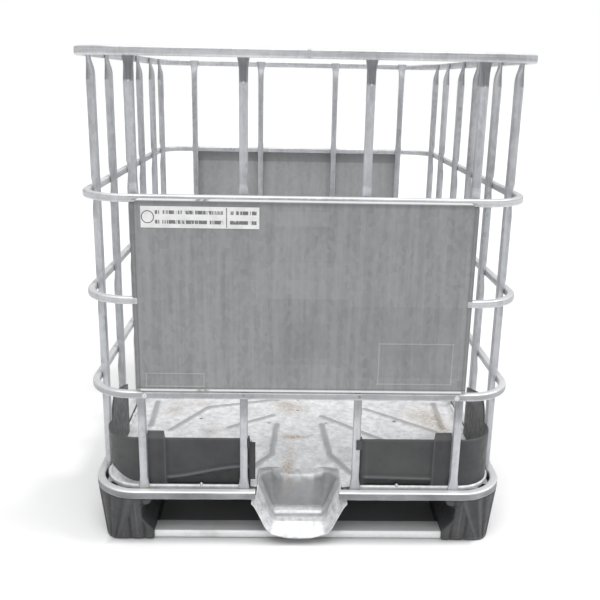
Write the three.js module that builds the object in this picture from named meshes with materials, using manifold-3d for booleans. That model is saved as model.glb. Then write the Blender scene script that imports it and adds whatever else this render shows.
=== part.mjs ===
// Intermediate bulk container: the galvanised tube cage and the sheet steel pallet it stands on.
// Millimetres, +Z up, X to the right, Y from front to rear, origin at the centre of the base.
// The discharge side, with the trough and the front plate, faces -Y.
import * as THREE from "three";
import { mergeVertices } from "three/addons/utils/BufferGeometryUtils.js";
import Module from "manifold-3d";

const wasm = await Module();
wasm.setup();

// ---- overall size
const HALF_WIDTH = 500;
const HALF_DEPTH = 600;
const HEIGHT = 1155;
const CORNER_RADIUS = 110;

// ---- cage rings
const RING_DEPTH = 20;
const RING_EDGE = 2;
const RING_WALL = 1.5;
const VENT_RADIUS = 3;
const HEAVY_RING_HEIGHT = 20;
const LIGHT_RING_HEIGHT = 18;
const LIGHT_RING_INSET = 2;
const RING_CENTRES = { upper_ring: 843, middle_ring: 615.5, lower_ring: 391 };
const BASE_RING_BOTTOM = 126;
const BASE_RING_GAP = { left: -105, right: 95 };

// ---- uprights, described outwards from the inner face of the rings
const UPRIGHT_HALF_WIDTH = 9;
const UPRIGHT_OUTER = 3;
const UPRIGHT_INNER = -15;
const WELD_FACE = -0.1;
const FLAT_THICKNESS = 5;
const FLARE_HALF_WIDTH = 15;
const TOP_TAPER = 55;
const BOTTOM_TAPER = 48;
const DENT_HALF_HEIGHT = 13;
const DENT_RUN = { above: 28, below: 45 };
const UPRIGHT_BOTTOM = 127.5;
const UPRIGHT_WALL = 1.4;
const END_UPRIGHTS_X = [-370, -133, 133, 370];
const SIDE_UPRIGHTS_Y = [-474, -300, -90, 90, 300, 474];

// ---- plates on the front and the rear
const PLATE = { halfWidth: 376, bottom: 403, top: 845, corner: 14, sheet: 1.2, flange: 12 };
const PLATE_HEM = 2.4;
const LABEL = { left: -352, right: -98, bottom: 781, top: 828, sheet: 0.3 };

// ---- deck
const DECK_TOP = 140;
const DECK_SHEET = 2;
const DECK_INSET = 6.3;
const RIM_WIDTH = 8.5;
const RIM_TOP = 150;
const BEAD = { height: 4, halfWidth: 11, shoulder: 4 };
const DECK_HOLE_RADIUS = 5;

// ---- discharge trough
const TROUGH_HALF_TOP = 96;
const TROUGH_BACK_TOP = -498;
const TROUGH_BACK_FLOOR = -514;
const TROUGH_FLOOR = { back: 56, crest: 53 };
const TROUGH_FRONT = -596;
const TROUGH_FLANGE = { side: 8, back: 14 };
const LIP_CREST = -546;
const LIP_FOOT = 24;
const LIP_HALF_FOOT = 30;
const LIP_CORNER = { x: 66, z: 33 };

// ---- feet and skid
const FOOT_TOP = 125.7;
const FOOT_SEAT = 137.7;
const FOOT_LENGTH = 200;
const FOOT_WIDTH = 146;
const FOOT_MIDDLE_HALF = 72;
const FOOT_WAIST = 25;
const FOOT_BATTER = 26;
const FLUTE = { depth: 3, halfWidth: 4, pitch: 34 };
const SKID = { inset: 35, width: 50, height: 20, gap: 0.3 };

// ---- corner guards
const GUARD_OUTER = -15.5;
const GUARD_WALL = 4;
const GUARD_BOTTOM = 140.3;
const GUARD_TOP = 270;
const GUARD_TAB = { left: -361, right: -321 };
const GUARD_TAB_TOP = 288;
const GUARD_SHOULDER = [
  [-455, 268],
  [-282, 268],
  [-282, 284],
  [-300, 290],
  [-392, 318],
  [-440, 318],
  [-455, 300],
];
const GUARD_RIB = 5;
const GUARD_FRONT_END = 106;
const GUARD_SIDE_END = 282;
const CLIP = { bottom: 252, top: 276, gap: 0.6, wall: 4 };

// ---- finishes
const GALVANISED = { color: 0xb9bcbf, roughness: 0.42, metalness: 0.85 };
const BRIGHT_SHEET = { color: 0xd2d4d5, roughness: 0.4, metalness: 0.8 };
const DULL_SHEET = { color: 0x8e9091, roughness: 0.55, metalness: 0.7 };
const SCREW_STEEL = { color: 0xc9cbcc, roughness: 0.3, metalness: 0.9 };
const BLACK_PLASTIC = { color: 0x2b2c2e, roughness: 0.6, metalness: 0 };
const LABEL_PLASTIC = { color: 0xf2f2f0, roughness: 0.5, metalness: 0 };

const FRONT = -1;
const REAR = 1;
const LEFT = -1;
const RIGHT = 1;

// ---------------------------------------------------------------- solids from three.js shapes

function solid(geometry) {
  const bare = geometry.clone();
  bare.deleteAttribute("normal");
  bare.deleteAttribute("uv");
  const merged = mergeVertices(bare, 1e-4);
  const mesh = new wasm.Mesh({
    numProp: 3,
    vertProperties: merged.attributes.position.array,
    triVerts: new Uint32Array(merged.index.array),
  });
  return new wasm.Manifold(mesh);
}

function outline(points) {
  return new THREE.Shape(points.map(([a, b]) => new THREE.Vector2(a, b)));
}

// A shape drawn in plan, raised from z0 to z1.
function prismZ(shape, z0, z1, curveSegments = 3) {
  const options = { depth: z1 - z0, bevelEnabled: false, curveSegments };
  return solid(new THREE.ExtrudeGeometry(shape, options).translate(0, 0, z0));
}

// A shape drawn as (x, z), carried along Y from y0 to y1.
function prismY(shape, y0, y1, curveSegments = 3) {
  const options = { depth: y1 - y0, bevelEnabled: false, curveSegments };
  const geometry = new THREE.ExtrudeGeometry(shape, options);
  return solid(geometry.rotateX(Math.PI / 2).translate(0, y1, 0));
}

// A shape drawn as (y, z), carried along X from x0 to x1.
function prismX(shape, x0, x1, curveSegments = 3) {
  const options = { depth: x1 - x0, bevelEnabled: false, curveSegments };
  const turn = new THREE.Matrix4().makeBasis(
    new THREE.Vector3(0, 1, 0),
    new THREE.Vector3(0, 0, 1),
    new THREE.Vector3(1, 0, 0),
  );
  const geometry = new THREE.ExtrudeGeometry(shape, options).applyMatrix4(turn);
  return solid(geometry.translate(x0, 0, 0));
}

function block([x0, x1], [y0, y1], [z0, z1]) {
  const geometry = new THREE.BoxGeometry(x1 - x0, y1 - y0, z1 - z0);
  return solid(geometry.translate((x0 + x1) / 2, (y0 + y1) / 2, (z0 + z1) / 2));
}

function rod(radius, x, y, z0, z1, sides = 8) {
  const geometry = new THREE.CylinderGeometry(radius, radius, z1 - z0, sides);
  return solid(geometry.rotateX(Math.PI / 2).translate(x, y, (z0 + z1) / 2));
}

// A rounded rectangle centred on the origin, drawn anticlockwise.
function roundedRectangle(halfX, halfY, radius, Kind = THREE.Shape) {
  const shape = new Kind();
  shape.moveTo(halfX, -halfY + radius);
  shape.absarc(halfX - radius, halfY - radius, radius, 0, Math.PI / 2);
  shape.absarc(-halfX + radius, halfY - radius, radius, Math.PI / 2, Math.PI);
  shape.absarc(-halfX + radius, -halfY + radius, radius, Math.PI, 1.5 * Math.PI);
  shape.absarc(halfX - radius, -halfY + radius, radius, 1.5 * Math.PI, 2 * Math.PI);
  return shape;
}

// The plan between two rounded rectangles, both set in from the outside of the cage.
function ringPlan(outerInset, innerInset) {
  const at = (inset, Kind) =>
    roundedRectangle(HALF_WIDTH - inset, HALF_DEPTH - inset, CORNER_RADIUS - inset, Kind);
  const plan = at(outerInset, THREE.Shape);
  plan.holes.push(at(innerInset, THREE.Path));
  return plan;
}

// ---------------------------------------------------------------- rings

// A hollow square tube bent into a rounded rectangle, with its long edges eased.
function tubeRing(bottom, height, inset) {
  const geometry = new THREE.ExtrudeGeometry(ringPlan(inset, RING_DEPTH), {
    depth: height - 2 * RING_EDGE,
    bevelThickness: RING_EDGE,
    bevelSize: RING_EDGE,
    bevelOffset: -RING_EDGE,
    bevelSegments: 1,
    curveSegments: 3,
  });
  const outside = solid(geometry.translate(0, 0, bottom + RING_EDGE));
  const bore = prismZ(
    ringPlan(inset + RING_WALL, RING_DEPTH - RING_WALL),
    bottom + RING_WALL,
    bottom + height - RING_WALL,
  );
  return outside.subtract(bore);
}

// The hole that lets zinc drain out of a closed ring, in the underside at the rear.
function ventHole(bottom, inset) {
  const y = HALF_DEPTH - (inset + RING_DEPTH) / 2;
  return rod(VENT_RADIUS, 0, y, bottom - 1, bottom + RING_WALL + 1);
}

function closedRing(bottom, height, inset) {
  return tubeRing(bottom, height, inset).subtract(ventHole(bottom, inset));
}

function baseRing() {
  const { left, right } = BASE_RING_GAP;
  const z = [BASE_RING_BOTTOM - 1, BASE_RING_BOTTOM + HEAVY_RING_HEIGHT + 1];
  const gap = block([left, right], [-HALF_DEPTH - 1, -HALF_DEPTH / 2], z);
  return tubeRing(BASE_RING_BOTTOM, HEAVY_RING_HEIGHT, 0).subtract(gap);
}

// ---------------------------------------------------------------- uprights

// The side view of an upright, as (outwards, up), anticlockwise from the outer bottom corner.
function uprightSideView() {
  const flatInner = WELD_FACE - FLAT_THICKNESS;
  const points = [
    [WELD_FACE, UPRIGHT_BOTTOM],
    [WELD_FACE, UPRIGHT_BOTTOM + 24],
    [UPRIGHT_OUTER, UPRIGHT_BOTTOM + 38],
  ];
  for (const centre of Object.values(RING_CENTRES).reverse()) {
    points.push(
      [UPRIGHT_OUTER, centre - DENT_RUN.below],
      [WELD_FACE, centre - DENT_HALF_HEIGHT],
      [WELD_FACE, centre + DENT_HALF_HEIGHT],
      [UPRIGHT_OUTER, centre + DENT_RUN.above],
    );
  }
  const top = HEIGHT - 2;
  points.push(
    [UPRIGHT_OUTER, top - TOP_TAPER],
    [WELD_FACE, top - 28],
    [WELD_FACE, top],
    [flatInner, top],
    [flatInner, top - 24],
    [UPRIGHT_INNER, top - TOP_TAPER],
    [UPRIGHT_INNER, UPRIGHT_BOTTOM + BOTTOM_TAPER],
    [flatInner, UPRIGHT_BOTTOM + 22],
    [flatInner, UPRIGHT_BOTTOM],
  );
  return outline(points);
}

// The view from outside, as (across, up): both ends spread where the tube is flattened.
function uprightFrontView() {
  const top = HEIGHT - 2;
  const right = [
    [FLARE_HALF_WIDTH - 1, UPRIGHT_BOTTOM],
    [FLARE_HALF_WIDTH - 2, UPRIGHT_BOTTOM + 22],
    [UPRIGHT_HALF_WIDTH, UPRIGHT_BOTTOM + BOTTOM_TAPER],
    [UPRIGHT_HALF_WIDTH, top - TOP_TAPER],
    [FLARE_HALF_WIDTH - 1.5, top - 20],
    [FLARE_HALF_WIDTH, top],
  ];
  const left = right.map(([x, z]) => [-x, z]).reverse();
  return outline([...right, ...left]);
}

// The bore follows the tube and stays open at the flattened bottom end.
function uprightBore() {
  const outer = WELD_FACE - UPRIGHT_WALL;
  const inner = UPRIGHT_INNER + UPRIGHT_WALL;
  const slot = WELD_FACE - FLAT_THICKNESS + UPRIGHT_WALL;
  const top = HEIGHT - 2 - TOP_TAPER;
  const side = outline([
    [outer, UPRIGHT_BOTTOM - 1],
    [outer, top],
    [inner, top],
    [inner, UPRIGHT_BOTTOM + BOTTOM_TAPER + 3],
    [slot, UPRIGHT_BOTTOM + 25],
    [slot, UPRIGHT_BOTTOM - 1],
  ]);
  const halfWidth = UPRIGHT_HALF_WIDTH - UPRIGHT_WALL;
  return prismX(side, -halfWidth, halfWidth);
}

const REACH = 20;
const upright = prismX(uprightSideView(), -REACH, REACH)
  .intersect(prismY(uprightFrontView(), -REACH, REACH))
  .subtract(uprightBore());

// An upright on the front or rear, its outer side turned to -Y or +Y.
function endUpright(side, x) {
  const turned = upright.rotate([0, 0, side === FRONT ? 180 : 0]);
  return turned.translate([x, side * (HALF_DEPTH - RING_DEPTH), 0]);
}

// An upright on the left or right, its outer side turned to -X or +X.
function sideUpright(side, y) {
  const turned = upright.rotate([0, 0, side === LEFT ? 90 : -90]);
  return turned.translate([side * (HALF_WIDTH - RING_DEPTH), y, 0]);
}

// ---------------------------------------------------------------- plates

// A sheet plate with folded side flanges and hemmed top and bottom edges, on the -Y side.
function sheetPlate() {
  const { halfWidth, bottom, top, corner, sheet, flange } = PLATE;
  const front = -HALF_DEPTH + LABEL.sheet;
  const face = outline([
    [-halfWidth, bottom],
    [halfWidth, bottom],
    [halfWidth, top - corner],
    [halfWidth - corner / 3, top - corner / 3],
    [halfWidth - corner, top],
    [-halfWidth + corner, top],
    [-halfWidth + corner / 3, top - corner / 3],
    [-halfWidth, top - corner],
  ]);
  let plate = prismY(face, front, front + sheet);
  for (const side of [LEFT, RIGHT]) {
    const edge = side * halfWidth;
    const x = [Math.min(edge, edge - side * sheet), Math.max(edge, edge - side * sheet)];
    const z = [bottom + LIGHT_RING_HEIGHT, RING_CENTRES.middle_ring - 12];
    const zAbove = [RING_CENTRES.middle_ring + 12, RING_CENTRES.upper_ring - 12];
    plate = plate.add(block(x, [front, front + flange], z));
    plate = plate.add(block(x, [front, front + flange], zAbove));
  }
  const hemX = [-halfWidth + corner, halfWidth - corner];
  const hemBottom = block(hemX, [front, front + PLATE_HEM], [bottom, bottom + 5]);
  return plate.add(hemBottom);
}

function frontLabel() {
  const { left, right, bottom, top, sheet } = LABEL;
  return block([left, right], [-HALF_DEPTH, -HALF_DEPTH + sheet], [bottom, top]);
}

// ---------------------------------------------------------------- deck

const DECK_HALF_X = HALF_WIDTH - RING_DEPTH - DECK_INSET;
const DECK_HALF_Y = HALF_DEPTH - RING_DEPTH - DECK_INSET;

const DECK_HOLES = [
  [-277, -191],
  [-80, -215],
  [3, -130],
  [83, -214],
  [281, -200],
  [5, -56],
];

// Stiffening beads pressed up out of the deck, as centre lines in plan.
const DECK_BEADS = [
  [[-123, -483], [-69, -405], [-58, -229]],
  [[132, -500], [83, -403], [71, -227]],
  [[-353, -268], [-262, -119]],
  [[-191, -250], [-69, -170]],
  [[72, -174], [239, -327]],
  [[204, -121], [390, -270]],
  [[-412, -243], [-419, -82]],
  [[-300, 120], [-120, 20]],
  [[300, 120], [120, 20]],
  [[-380, 420], [-150, 180]],
  [[380, 420], [150, 180]],
  [[-90, 480], [-60, 240]],
  [[90, 480], [60, 240]],
];

// One straight run of a bead: a low ridge with sloping shoulders.
function beadRun([x0, y0], [x1, y1]) {
  const length = Math.hypot(x1 - x0, y1 - y0);
  const foot = BEAD.halfWidth;
  const crest = BEAD.halfWidth - BEAD.shoulder;
  const section = outline([
    [-foot, DECK_TOP - 1],
    [foot, DECK_TOP - 1],
    [foot, DECK_TOP],
    [crest, DECK_TOP + BEAD.height],
    [-crest, DECK_TOP + BEAD.height],
    [-foot, DECK_TOP],
  ]);
  const turn = (Math.atan2(y1 - y0, x1 - x0) * 180) / Math.PI;
  return prismX(section, -crest, length + crest).rotate([0, 0, turn]).translate([x0, y0, 0]);
}

function deckBeads() {
  let beads = null;
  for (const line of DECK_BEADS) {
    for (let i = 1; i < line.length; i += 1) {
      const run = beadRun(line[i - 1], line[i]);
      beads = beads ? beads.add(run) : run;
    }
  }
  return beads;
}

// The space of the trough, grown outwards by `skin`: the shell is the grown space less the space.
function troughSpace(skin, top) {
  const front = skin > 0 ? TROUGH_FRONT : -HALF_DEPTH - 1;
  const across = outline([
    [-LIP_HALF_FOOT - skin, LIP_FOOT - skin],
    [LIP_HALF_FOOT + skin, LIP_FOOT - skin],
    [LIP_CORNER.x + skin, LIP_CORNER.z - skin],
    [TROUGH_HALF_TOP + skin, top],
    [-TROUGH_HALF_TOP - skin, top],
    [-LIP_CORNER.x - skin, LIP_CORNER.z - skin],
  ]);
  const along = outline([
    [front, LIP_FOOT - skin],
    [LIP_CREST, TROUGH_FLOOR.crest - skin],
    [TROUGH_BACK_FLOOR + skin, TROUGH_FLOOR.back - skin],
    [TROUGH_BACK_TOP + skin, top],
    [front, top],
  ]);
  const limit = 2 * HALF_DEPTH;
  return prismY(across, -limit, 0).intersect(prismX(along, -limit, limit));
}

// The turned-out edge round the front of the pressing, from the base ring down to the skid.
function troughLip() {
  const outer = [
    [-104, DECK_TOP],
    [-104, 125],
    [-118, 124],
    [-105, 104],
    [-92, 77],
    [-80, 49],
    [-LIP_CORNER.x, LIP_CORNER.z - DECK_SHEET],
  ];
  const inner = [
    [-LIP_CORNER.x, LIP_CORNER.z],
    [-TROUGH_HALF_TOP, DECK_TOP],
  ];
  const left = outline([...outer, ...inner]);
  const right = outline([...outer, ...inner].map(([x, z]) => [-x, z]).reverse());
  const y = [TROUGH_FRONT - DECK_SHEET, TROUGH_FRONT];
  return prismY(left, ...y).add(prismY(right, ...y));
}

// The cut in the deck that the trough drops into, open to the front.
function troughNotch(clearance) {
  const halfX = TROUGH_HALF_TOP + DECK_SHEET + clearance;
  const y = [-HALF_DEPTH, TROUGH_BACK_TOP + DECK_SHEET + clearance];
  const notch = block([-halfX, halfX], y, [DECK_TOP - 20, HEIGHT]);
  const mouth = block([-110, 110], [-HALF_DEPTH, -560], [DECK_TOP, HEIGHT]);
  return notch.add(mouth);
}

function deckPan() {
  const sheetPlan = roundedRectangle(DECK_HALF_X, DECK_HALF_Y, CORNER_RADIUS - RING_DEPTH);
  const sheet = prismZ(sheetPlan, DECK_TOP - DECK_SHEET, DECK_TOP);
  const rimOuter = RING_DEPTH + DECK_INSET;
  const rim = prismZ(ringPlan(rimOuter, rimOuter + RIM_WIDTH), DECK_TOP - 1, RIM_TOP);
  let pan = sheet.add(rim).add(deckBeads()).subtract(troughNotch(SKID.gap));
  for (const [x, y] of DECK_HOLES) {
    pan = pan.subtract(rod(DECK_HOLE_RADIUS, x, y, DECK_TOP - 10, DECK_TOP + 10));
  }
  for (const { x, y } of Object.values(DECK_BOLTS)) {
    pan = pan.subtract(rod(BOLT.shank + SKID.gap, x, y, DECK_TOP - 10, RIM_TOP + 10));
  }
  return pan;
}

// A separate pressing: the scoop, its front lip, and a flange that laps over the deck.
function dischargeTrough() {
  const flangeX = TROUGH_HALF_TOP + TROUGH_FLANGE.side;
  const flangeY = [-HALF_DEPTH + RING_DEPTH + DECK_INSET, TROUGH_BACK_TOP + TROUGH_FLANGE.back];
  const flange = block([-flangeX, flangeX], flangeY, [DECK_TOP + 0.1, DECK_TOP + DECK_SHEET]);
  return troughSpace(DECK_SHEET, DECK_TOP + DECK_SHEET)
    .add(flange)
    .subtract(troughSpace(0, DECK_TOP + DECK_SHEET + 1))
    .add(troughLip())
    .subtract(tubeClearance());
}

// The room the base ring takes, grown a little.
function tubeClearance() {
  const grown = ringPlan(-1, RING_DEPTH + SKID.gap);
  const z = [BASE_RING_BOTTOM - SKID.gap, BASE_RING_BOTTOM + HEAVY_RING_HEIGHT + SKID.gap];
  const { left, right } = BASE_RING_GAP;
  const gap = block([left + SKID.gap, right - SKID.gap], [-HALF_DEPTH, -HALF_DEPTH / 2], [0, HEIGHT]);
  return prismZ(grown, ...z).subtract(gap);
}

// ---------------------------------------------------------------- fasteners

const BOLT = { shank: 2.5, head: 4.6, headHeight: 4, bottom: 128 };
const BOLT_INSET = RING_DEPTH + DECK_INSET + RIM_WIDTH / 2;
const BOLT_Y = HALF_DEPTH - BOLT_INSET;
const BOLT_X = HALF_WIDTH - BOLT_INSET;
const DECK_BOLTS = {
  deck_bolt_front_left: { x: -235, y: -BOLT_Y },
  deck_bolt_front_right: { x: 235, y: -BOLT_Y },
  deck_bolt_rear_left: { x: -235, y: BOLT_Y },
  deck_bolt_rear_right: { x: 235, y: BOLT_Y },
  deck_bolt_left_front: { x: -BOLT_X, y: -190 },
  deck_bolt_left_rear: { x: -BOLT_X, y: 190 },
  deck_bolt_right_front: { x: BOLT_X, y: -190 },
  deck_bolt_right_rear: { x: BOLT_X, y: 190 },
};

function deckBolt({ x, y }) {
  const shank = rod(BOLT.shank, x, y, BOLT.bottom, RIM_TOP + 1);
  const head = rod(BOLT.head, x, y, RIM_TOP + 0.1, RIM_TOP + BOLT.headHeight, 6);
  return shank.add(head);
}

const SCREW = { head: 6, headHeight: 1.8, shank: 2.5, length: 10 };
const SCREWS_X = [-358, 358];

// A rod standing in the front face of the lower ring, from `inside` behind it to `outside` before it.
function faceRod(radius, x, inside, outside) {
  const ringFace = -HALF_DEPTH + LIGHT_RING_INSET;
  const standing = rod(radius, 0, 0, -inside, outside).rotate([90, 0, 0]);
  return standing.translate([x, ringFace, RING_CENTRES.lower_ring]);
}

// A pan-head screw that pins the plate's bottom corner to the lower ring.
function plateScrew(x) {
  const head = faceRod(SCREW.head, x, -0.1, SCREW.headHeight);
  return head.add(faceRod(SCREW.shank, x, SCREW.length, 1));
}

// The lower ring, with the holes of the plate's screws in its front wall.
function lowerRing(ring) {
  const holes = SCREWS_X.map((x) => faceRod(SCREW.shank + SKID.gap, x, SCREW.length + 1, 1));
  return holes.reduce((cut, hole) => cut.subtract(hole), ring);
}

// ---------------------------------------------------------------- skid and feet

function skidPlan(grow) {
  return ringPlan(SKID.inset - grow, SKID.inset + SKID.width + grow);
}

function skidFrame() {
  return prismZ(skidPlan(0), 0, SKID.height);
}

const skidClearance = prismZ(skidPlan(SKID.gap), -1, SKID.height + SKID.gap);

// The upright profile of a foot, as (outwards from its inner edge, up): a waist between two flanges.
function footProfile(width) {
  return [
    [0, 2],
    [0, 32],
    [FOOT_WAIST, 66],
    [FOOT_WAIST, 104],
    [0, 118],
    [0, FOOT_SEAT],
    [width, FOOT_SEAT],
    [width, 118],
    [width - FOOT_BATTER, 2],
  ];
}

// A view of a corner foot from one side of the pallet; `side` says which way is outwards.
function cornerView(side, half, width) {
  const profile = footProfile(width);
  const placed = profile.map(([out, z]) => [side * (half - 2 - width + out), z]);
  return outline(side === LEFT ? placed : placed.reverse());
}

// The same view of a middle foot, which has a waist on both sides.
function middleView() {
  const half = FOOT_MIDDLE_HALF;
  const right = footProfile(half)
    .slice(0, 6)
    .map(([out, z]) => [half - out, z]);
  return outline([...right, ...right.map(([x, z]) => [-x, z]).reverse()]);
}

// Upright grooves in the outer walls of the feet, all the way round the pallet.
function flutes() {
  const grooves = [];
  const z = [0, FOOT_TOP + 1];
  const { depth, halfWidth, pitch } = FLUTE;
  for (const side of [-1, 1]) {
    for (const end of [-1, 0, 1]) {
      for (const step of [-1, 0, 1]) {
        const x = end * 415 + step * pitch;
        const y = end * 455 + step * pitch;
        const [faceX, faceY] = [side * (HALF_WIDTH - 2), side * (HALF_DEPTH - 2)];
        const nearX = [faceX - depth, faceX + depth];
        const nearY = [faceY - depth, faceY + depth];
        grooves.push(block([x - halfWidth, x + halfWidth], nearY, z));
        grooves.push(block(nearX, [y - halfWidth, y + halfWidth], z));
      }
    }
  }
  return wasm.Manifold.union(grooves);
}

const footOuter = prismZ(
  roundedRectangle(HALF_WIDTH - 2, HALF_DEPTH - 2, CORNER_RADIUS - 2),
  2,
  FOOT_TOP,
);
const footInner = prismZ(
  roundedRectangle(
    HALF_WIDTH - RING_DEPTH - DECK_INSET,
    HALF_DEPTH - RING_DEPTH - DECK_INSET,
    CORNER_RADIUS - RING_DEPTH - DECK_INSET,
  ),
  2,
  FOOT_SEAT,
);
const footRoom = footOuter.add(footInner).subtract(flutes()).subtract(skidClearance);
const FAR = 2 * HALF_DEPTH;

function cornerFoot(xSide, ySide) {
  const front = prismY(cornerView(xSide, HALF_WIDTH, FOOT_WIDTH), -FAR, FAR);
  const side = prismX(cornerView(ySide, HALF_DEPTH, FOOT_LENGTH), -FAR, FAR);
  return footRoom.intersect(front).intersect(side);
}

function sideFoot(xSide) {
  const front = prismY(cornerView(xSide, HALF_WIDTH, FOOT_WIDTH), -FAR, FAR);
  return footRoom.intersect(front).intersect(prismX(middleView(), -FAR, FAR));
}

function rearFoot() {
  const side = prismX(cornerView(REAR, HALF_DEPTH, FOOT_LENGTH), -FAR, FAR);
  return footRoom.intersect(side).intersect(prismY(middleView(), -FAR, FAR));
}

// ---------------------------------------------------------------- corner guards

// The clip at the end of the front arm: it hooks round the side and the face of upright 2.
function frontClip() {
  const { bottom, top, gap, wall } = CLIP;
  const uprightX = -END_UPRIGHTS_X[2];
  const near = uprightX + UPRIGHT_HALF_WIDTH + gap;
  const faceY = -(HALF_DEPTH - RING_DEPTH + UPRIGHT_OUTER + gap);
  const insideY = -(HALF_DEPTH - RING_DEPTH + GUARD_OUTER - 1);
  const z = [bottom, top];
  const arm = block([near, near + wall], [faceY - wall, insideY], z);
  const hook = block([uprightX - 2, near + wall], [faceY - wall, faceY], z);
  return arm.add(hook);
}

// The same clip at the end of the side arm, round the second upright of the long side.
function sideClip() {
  const { bottom, top, gap, wall } = CLIP;
  const uprightY = SIDE_UPRIGHTS_Y[1];
  const near = uprightY + UPRIGHT_HALF_WIDTH + gap;
  const faceX = -(HALF_WIDTH - RING_DEPTH + UPRIGHT_OUTER + gap);
  const insideX = -(HALF_WIDTH - RING_DEPTH + GUARD_OUTER - 1);
  const z = [bottom, top];
  const arm = block([faceX - wall, insideX], [near, near + wall], z);
  const hook = block([faceX - wall, faceX], [uprightY - 2, near + wall], z);
  return arm.add(hook);
}

// Posts that stiffen the front arm from inside; the outer one stands up as a lifting tab.
function guardPosts() {
  const inner = -(HALF_DEPTH - RING_DEPTH + GUARD_OUTER - GUARD_WALL);
  const y = [inner - GUARD_WALL, inner];
  const behind = [inner - 1, inner + GUARD_RIB];
  const { left, right } = GUARD_TAB;
  const tab = block([left, right], y, [GUARD_TOP - 1, GUARD_TAB_TOP]);
  const post = block([right - 12, right], behind, [GUARD_BOTTOM, GUARD_TOP]);
  const endPost = block([-GUARD_FRONT_END - 12, -GUARD_FRONT_END], behind, [GUARD_BOTTOM, GUARD_TOP]);
  return tab.add(post).add(endPost);
}

// The side arm stands up higher than the corner, and slopes down towards its end.
function guardShoulder() {
  const face = -(HALF_WIDTH - RING_DEPTH + GUARD_OUTER);
  return prismX(outline(GUARD_SHOULDER), face, face + GUARD_WALL);
}

function frontLeftGuard() {
  const centre = [-(HALF_WIDTH - CORNER_RADIUS), -(HALF_DEPTH - CORNER_RADIUS)];
  const outer = RING_DEPTH - GUARD_OUTER;
  const band = prismZ(ringPlan(outer, outer + GUARD_WALL), GUARD_BOTTOM, GUARD_TOP);
  const frontPart = block([-FAR, -GUARD_FRONT_END], [-FAR, centre[1]], [0, HEIGHT]);
  const sidePart = block([-FAR, centre[0]], [-FAR, -GUARD_SIDE_END], [0, HEIGHT]);
  const wall = band.intersect(frontPart.add(sidePart));
  return wall.add(guardPosts()).add(guardShoulder()).add(frontClip()).add(sideClip());
}

// The other guards are the same pressing, turned over to its own corner.
function guard(xSide, ySide) {
  const made = frontLeftGuard();
  const acrossX = xSide === LEFT ? made : made.mirror([1, 0, 0]);
  return ySide === FRONT ? acrossX : acrossX.mirror([0, 1, 0]);
}

// ---------------------------------------------------------------- the assembly

const object = new THREE.Group();
object.name = "intermediate_bulk_container";

function addPiece(name, made, finish) {
  const { vertProperties, triVerts } = made.getMesh();
  const geometry = new THREE.BufferGeometry();
  geometry.setAttribute("position", new THREE.BufferAttribute(vertProperties, 3));
  geometry.setIndex(new THREE.BufferAttribute(triVerts, 1));
  geometry.computeVertexNormals();
  const mesh = new THREE.Mesh(geometry, new THREE.MeshStandardMaterial(finish));
  mesh.name = name;
  object.add(mesh);
}

addPiece("top_ring", closedRing(HEIGHT - HEAVY_RING_HEIGHT, HEAVY_RING_HEIGHT, 0), GALVANISED);
for (const [name, centre] of Object.entries(RING_CENTRES)) {
  const ring = closedRing(centre - LIGHT_RING_HEIGHT / 2, LIGHT_RING_HEIGHT, LIGHT_RING_INSET);
  addPiece(name, name === "lower_ring" ? lowerRing(ring) : ring, GALVANISED);
}
addPiece("base_ring", baseRing(), GALVANISED);

END_UPRIGHTS_X.forEach((x, i) => {
  addPiece(`front_upright_${i + 1}`, endUpright(FRONT, x), GALVANISED);
  addPiece(`rear_upright_${i + 1}`, endUpright(REAR, x), GALVANISED);
});
SIDE_UPRIGHTS_Y.forEach((y, i) => {
  addPiece(`left_upright_${i + 1}`, sideUpright(LEFT, y), GALVANISED);
  addPiece(`right_upright_${i + 1}`, sideUpright(RIGHT, y), GALVANISED);
});

addPiece("front_plate", sheetPlate(), DULL_SHEET);
addPiece("rear_plate", sheetPlate().rotate([0, 0, 180]), DULL_SHEET);
addPiece("front_label", frontLabel(), LABEL_PLASTIC);
addPiece("front_plate_screw_left", plateScrew(SCREWS_X[0]), SCREW_STEEL);
addPiece("front_plate_screw_right", plateScrew(SCREWS_X[1]), SCREW_STEEL);

addPiece("deck_pan", deckPan(), BRIGHT_SHEET);
addPiece("discharge_trough", dischargeTrough(), BRIGHT_SHEET);
for (const [name, place] of Object.entries(DECK_BOLTS)) {
  addPiece(name, deckBolt(place), SCREW_STEEL);
}

addPiece("skid_frame", skidFrame(), BRIGHT_SHEET);
addPiece("foot_front_left", cornerFoot(LEFT, FRONT), BLACK_PLASTIC);
addPiece("foot_front_right", cornerFoot(RIGHT, FRONT), BLACK_PLASTIC);
addPiece("foot_rear_left", cornerFoot(LEFT, REAR), BLACK_PLASTIC);
addPiece("foot_rear_right", cornerFoot(RIGHT, REAR), BLACK_PLASTIC);
addPiece("foot_left_middle", sideFoot(LEFT), BLACK_PLASTIC);
addPiece("foot_right_middle", sideFoot(RIGHT), BLACK_PLASTIC);
addPiece("foot_rear_middle", rearFoot(), BLACK_PLASTIC);

addPiece("guard_front_left", guard(LEFT, FRONT), BLACK_PLASTIC);
addPiece("guard_front_right", guard(RIGHT, FRONT), BLACK_PLASTIC);
addPiece("guard_rear_left", guard(LEFT, REAR), BLACK_PLASTIC);
addPiece("guard_rear_right", guard(RIGHT, REAR), BLACK_PLASTIC);

export default object;
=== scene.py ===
import math
import random

import bpy
from mathutils import Matrix, Vector, noise


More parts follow.
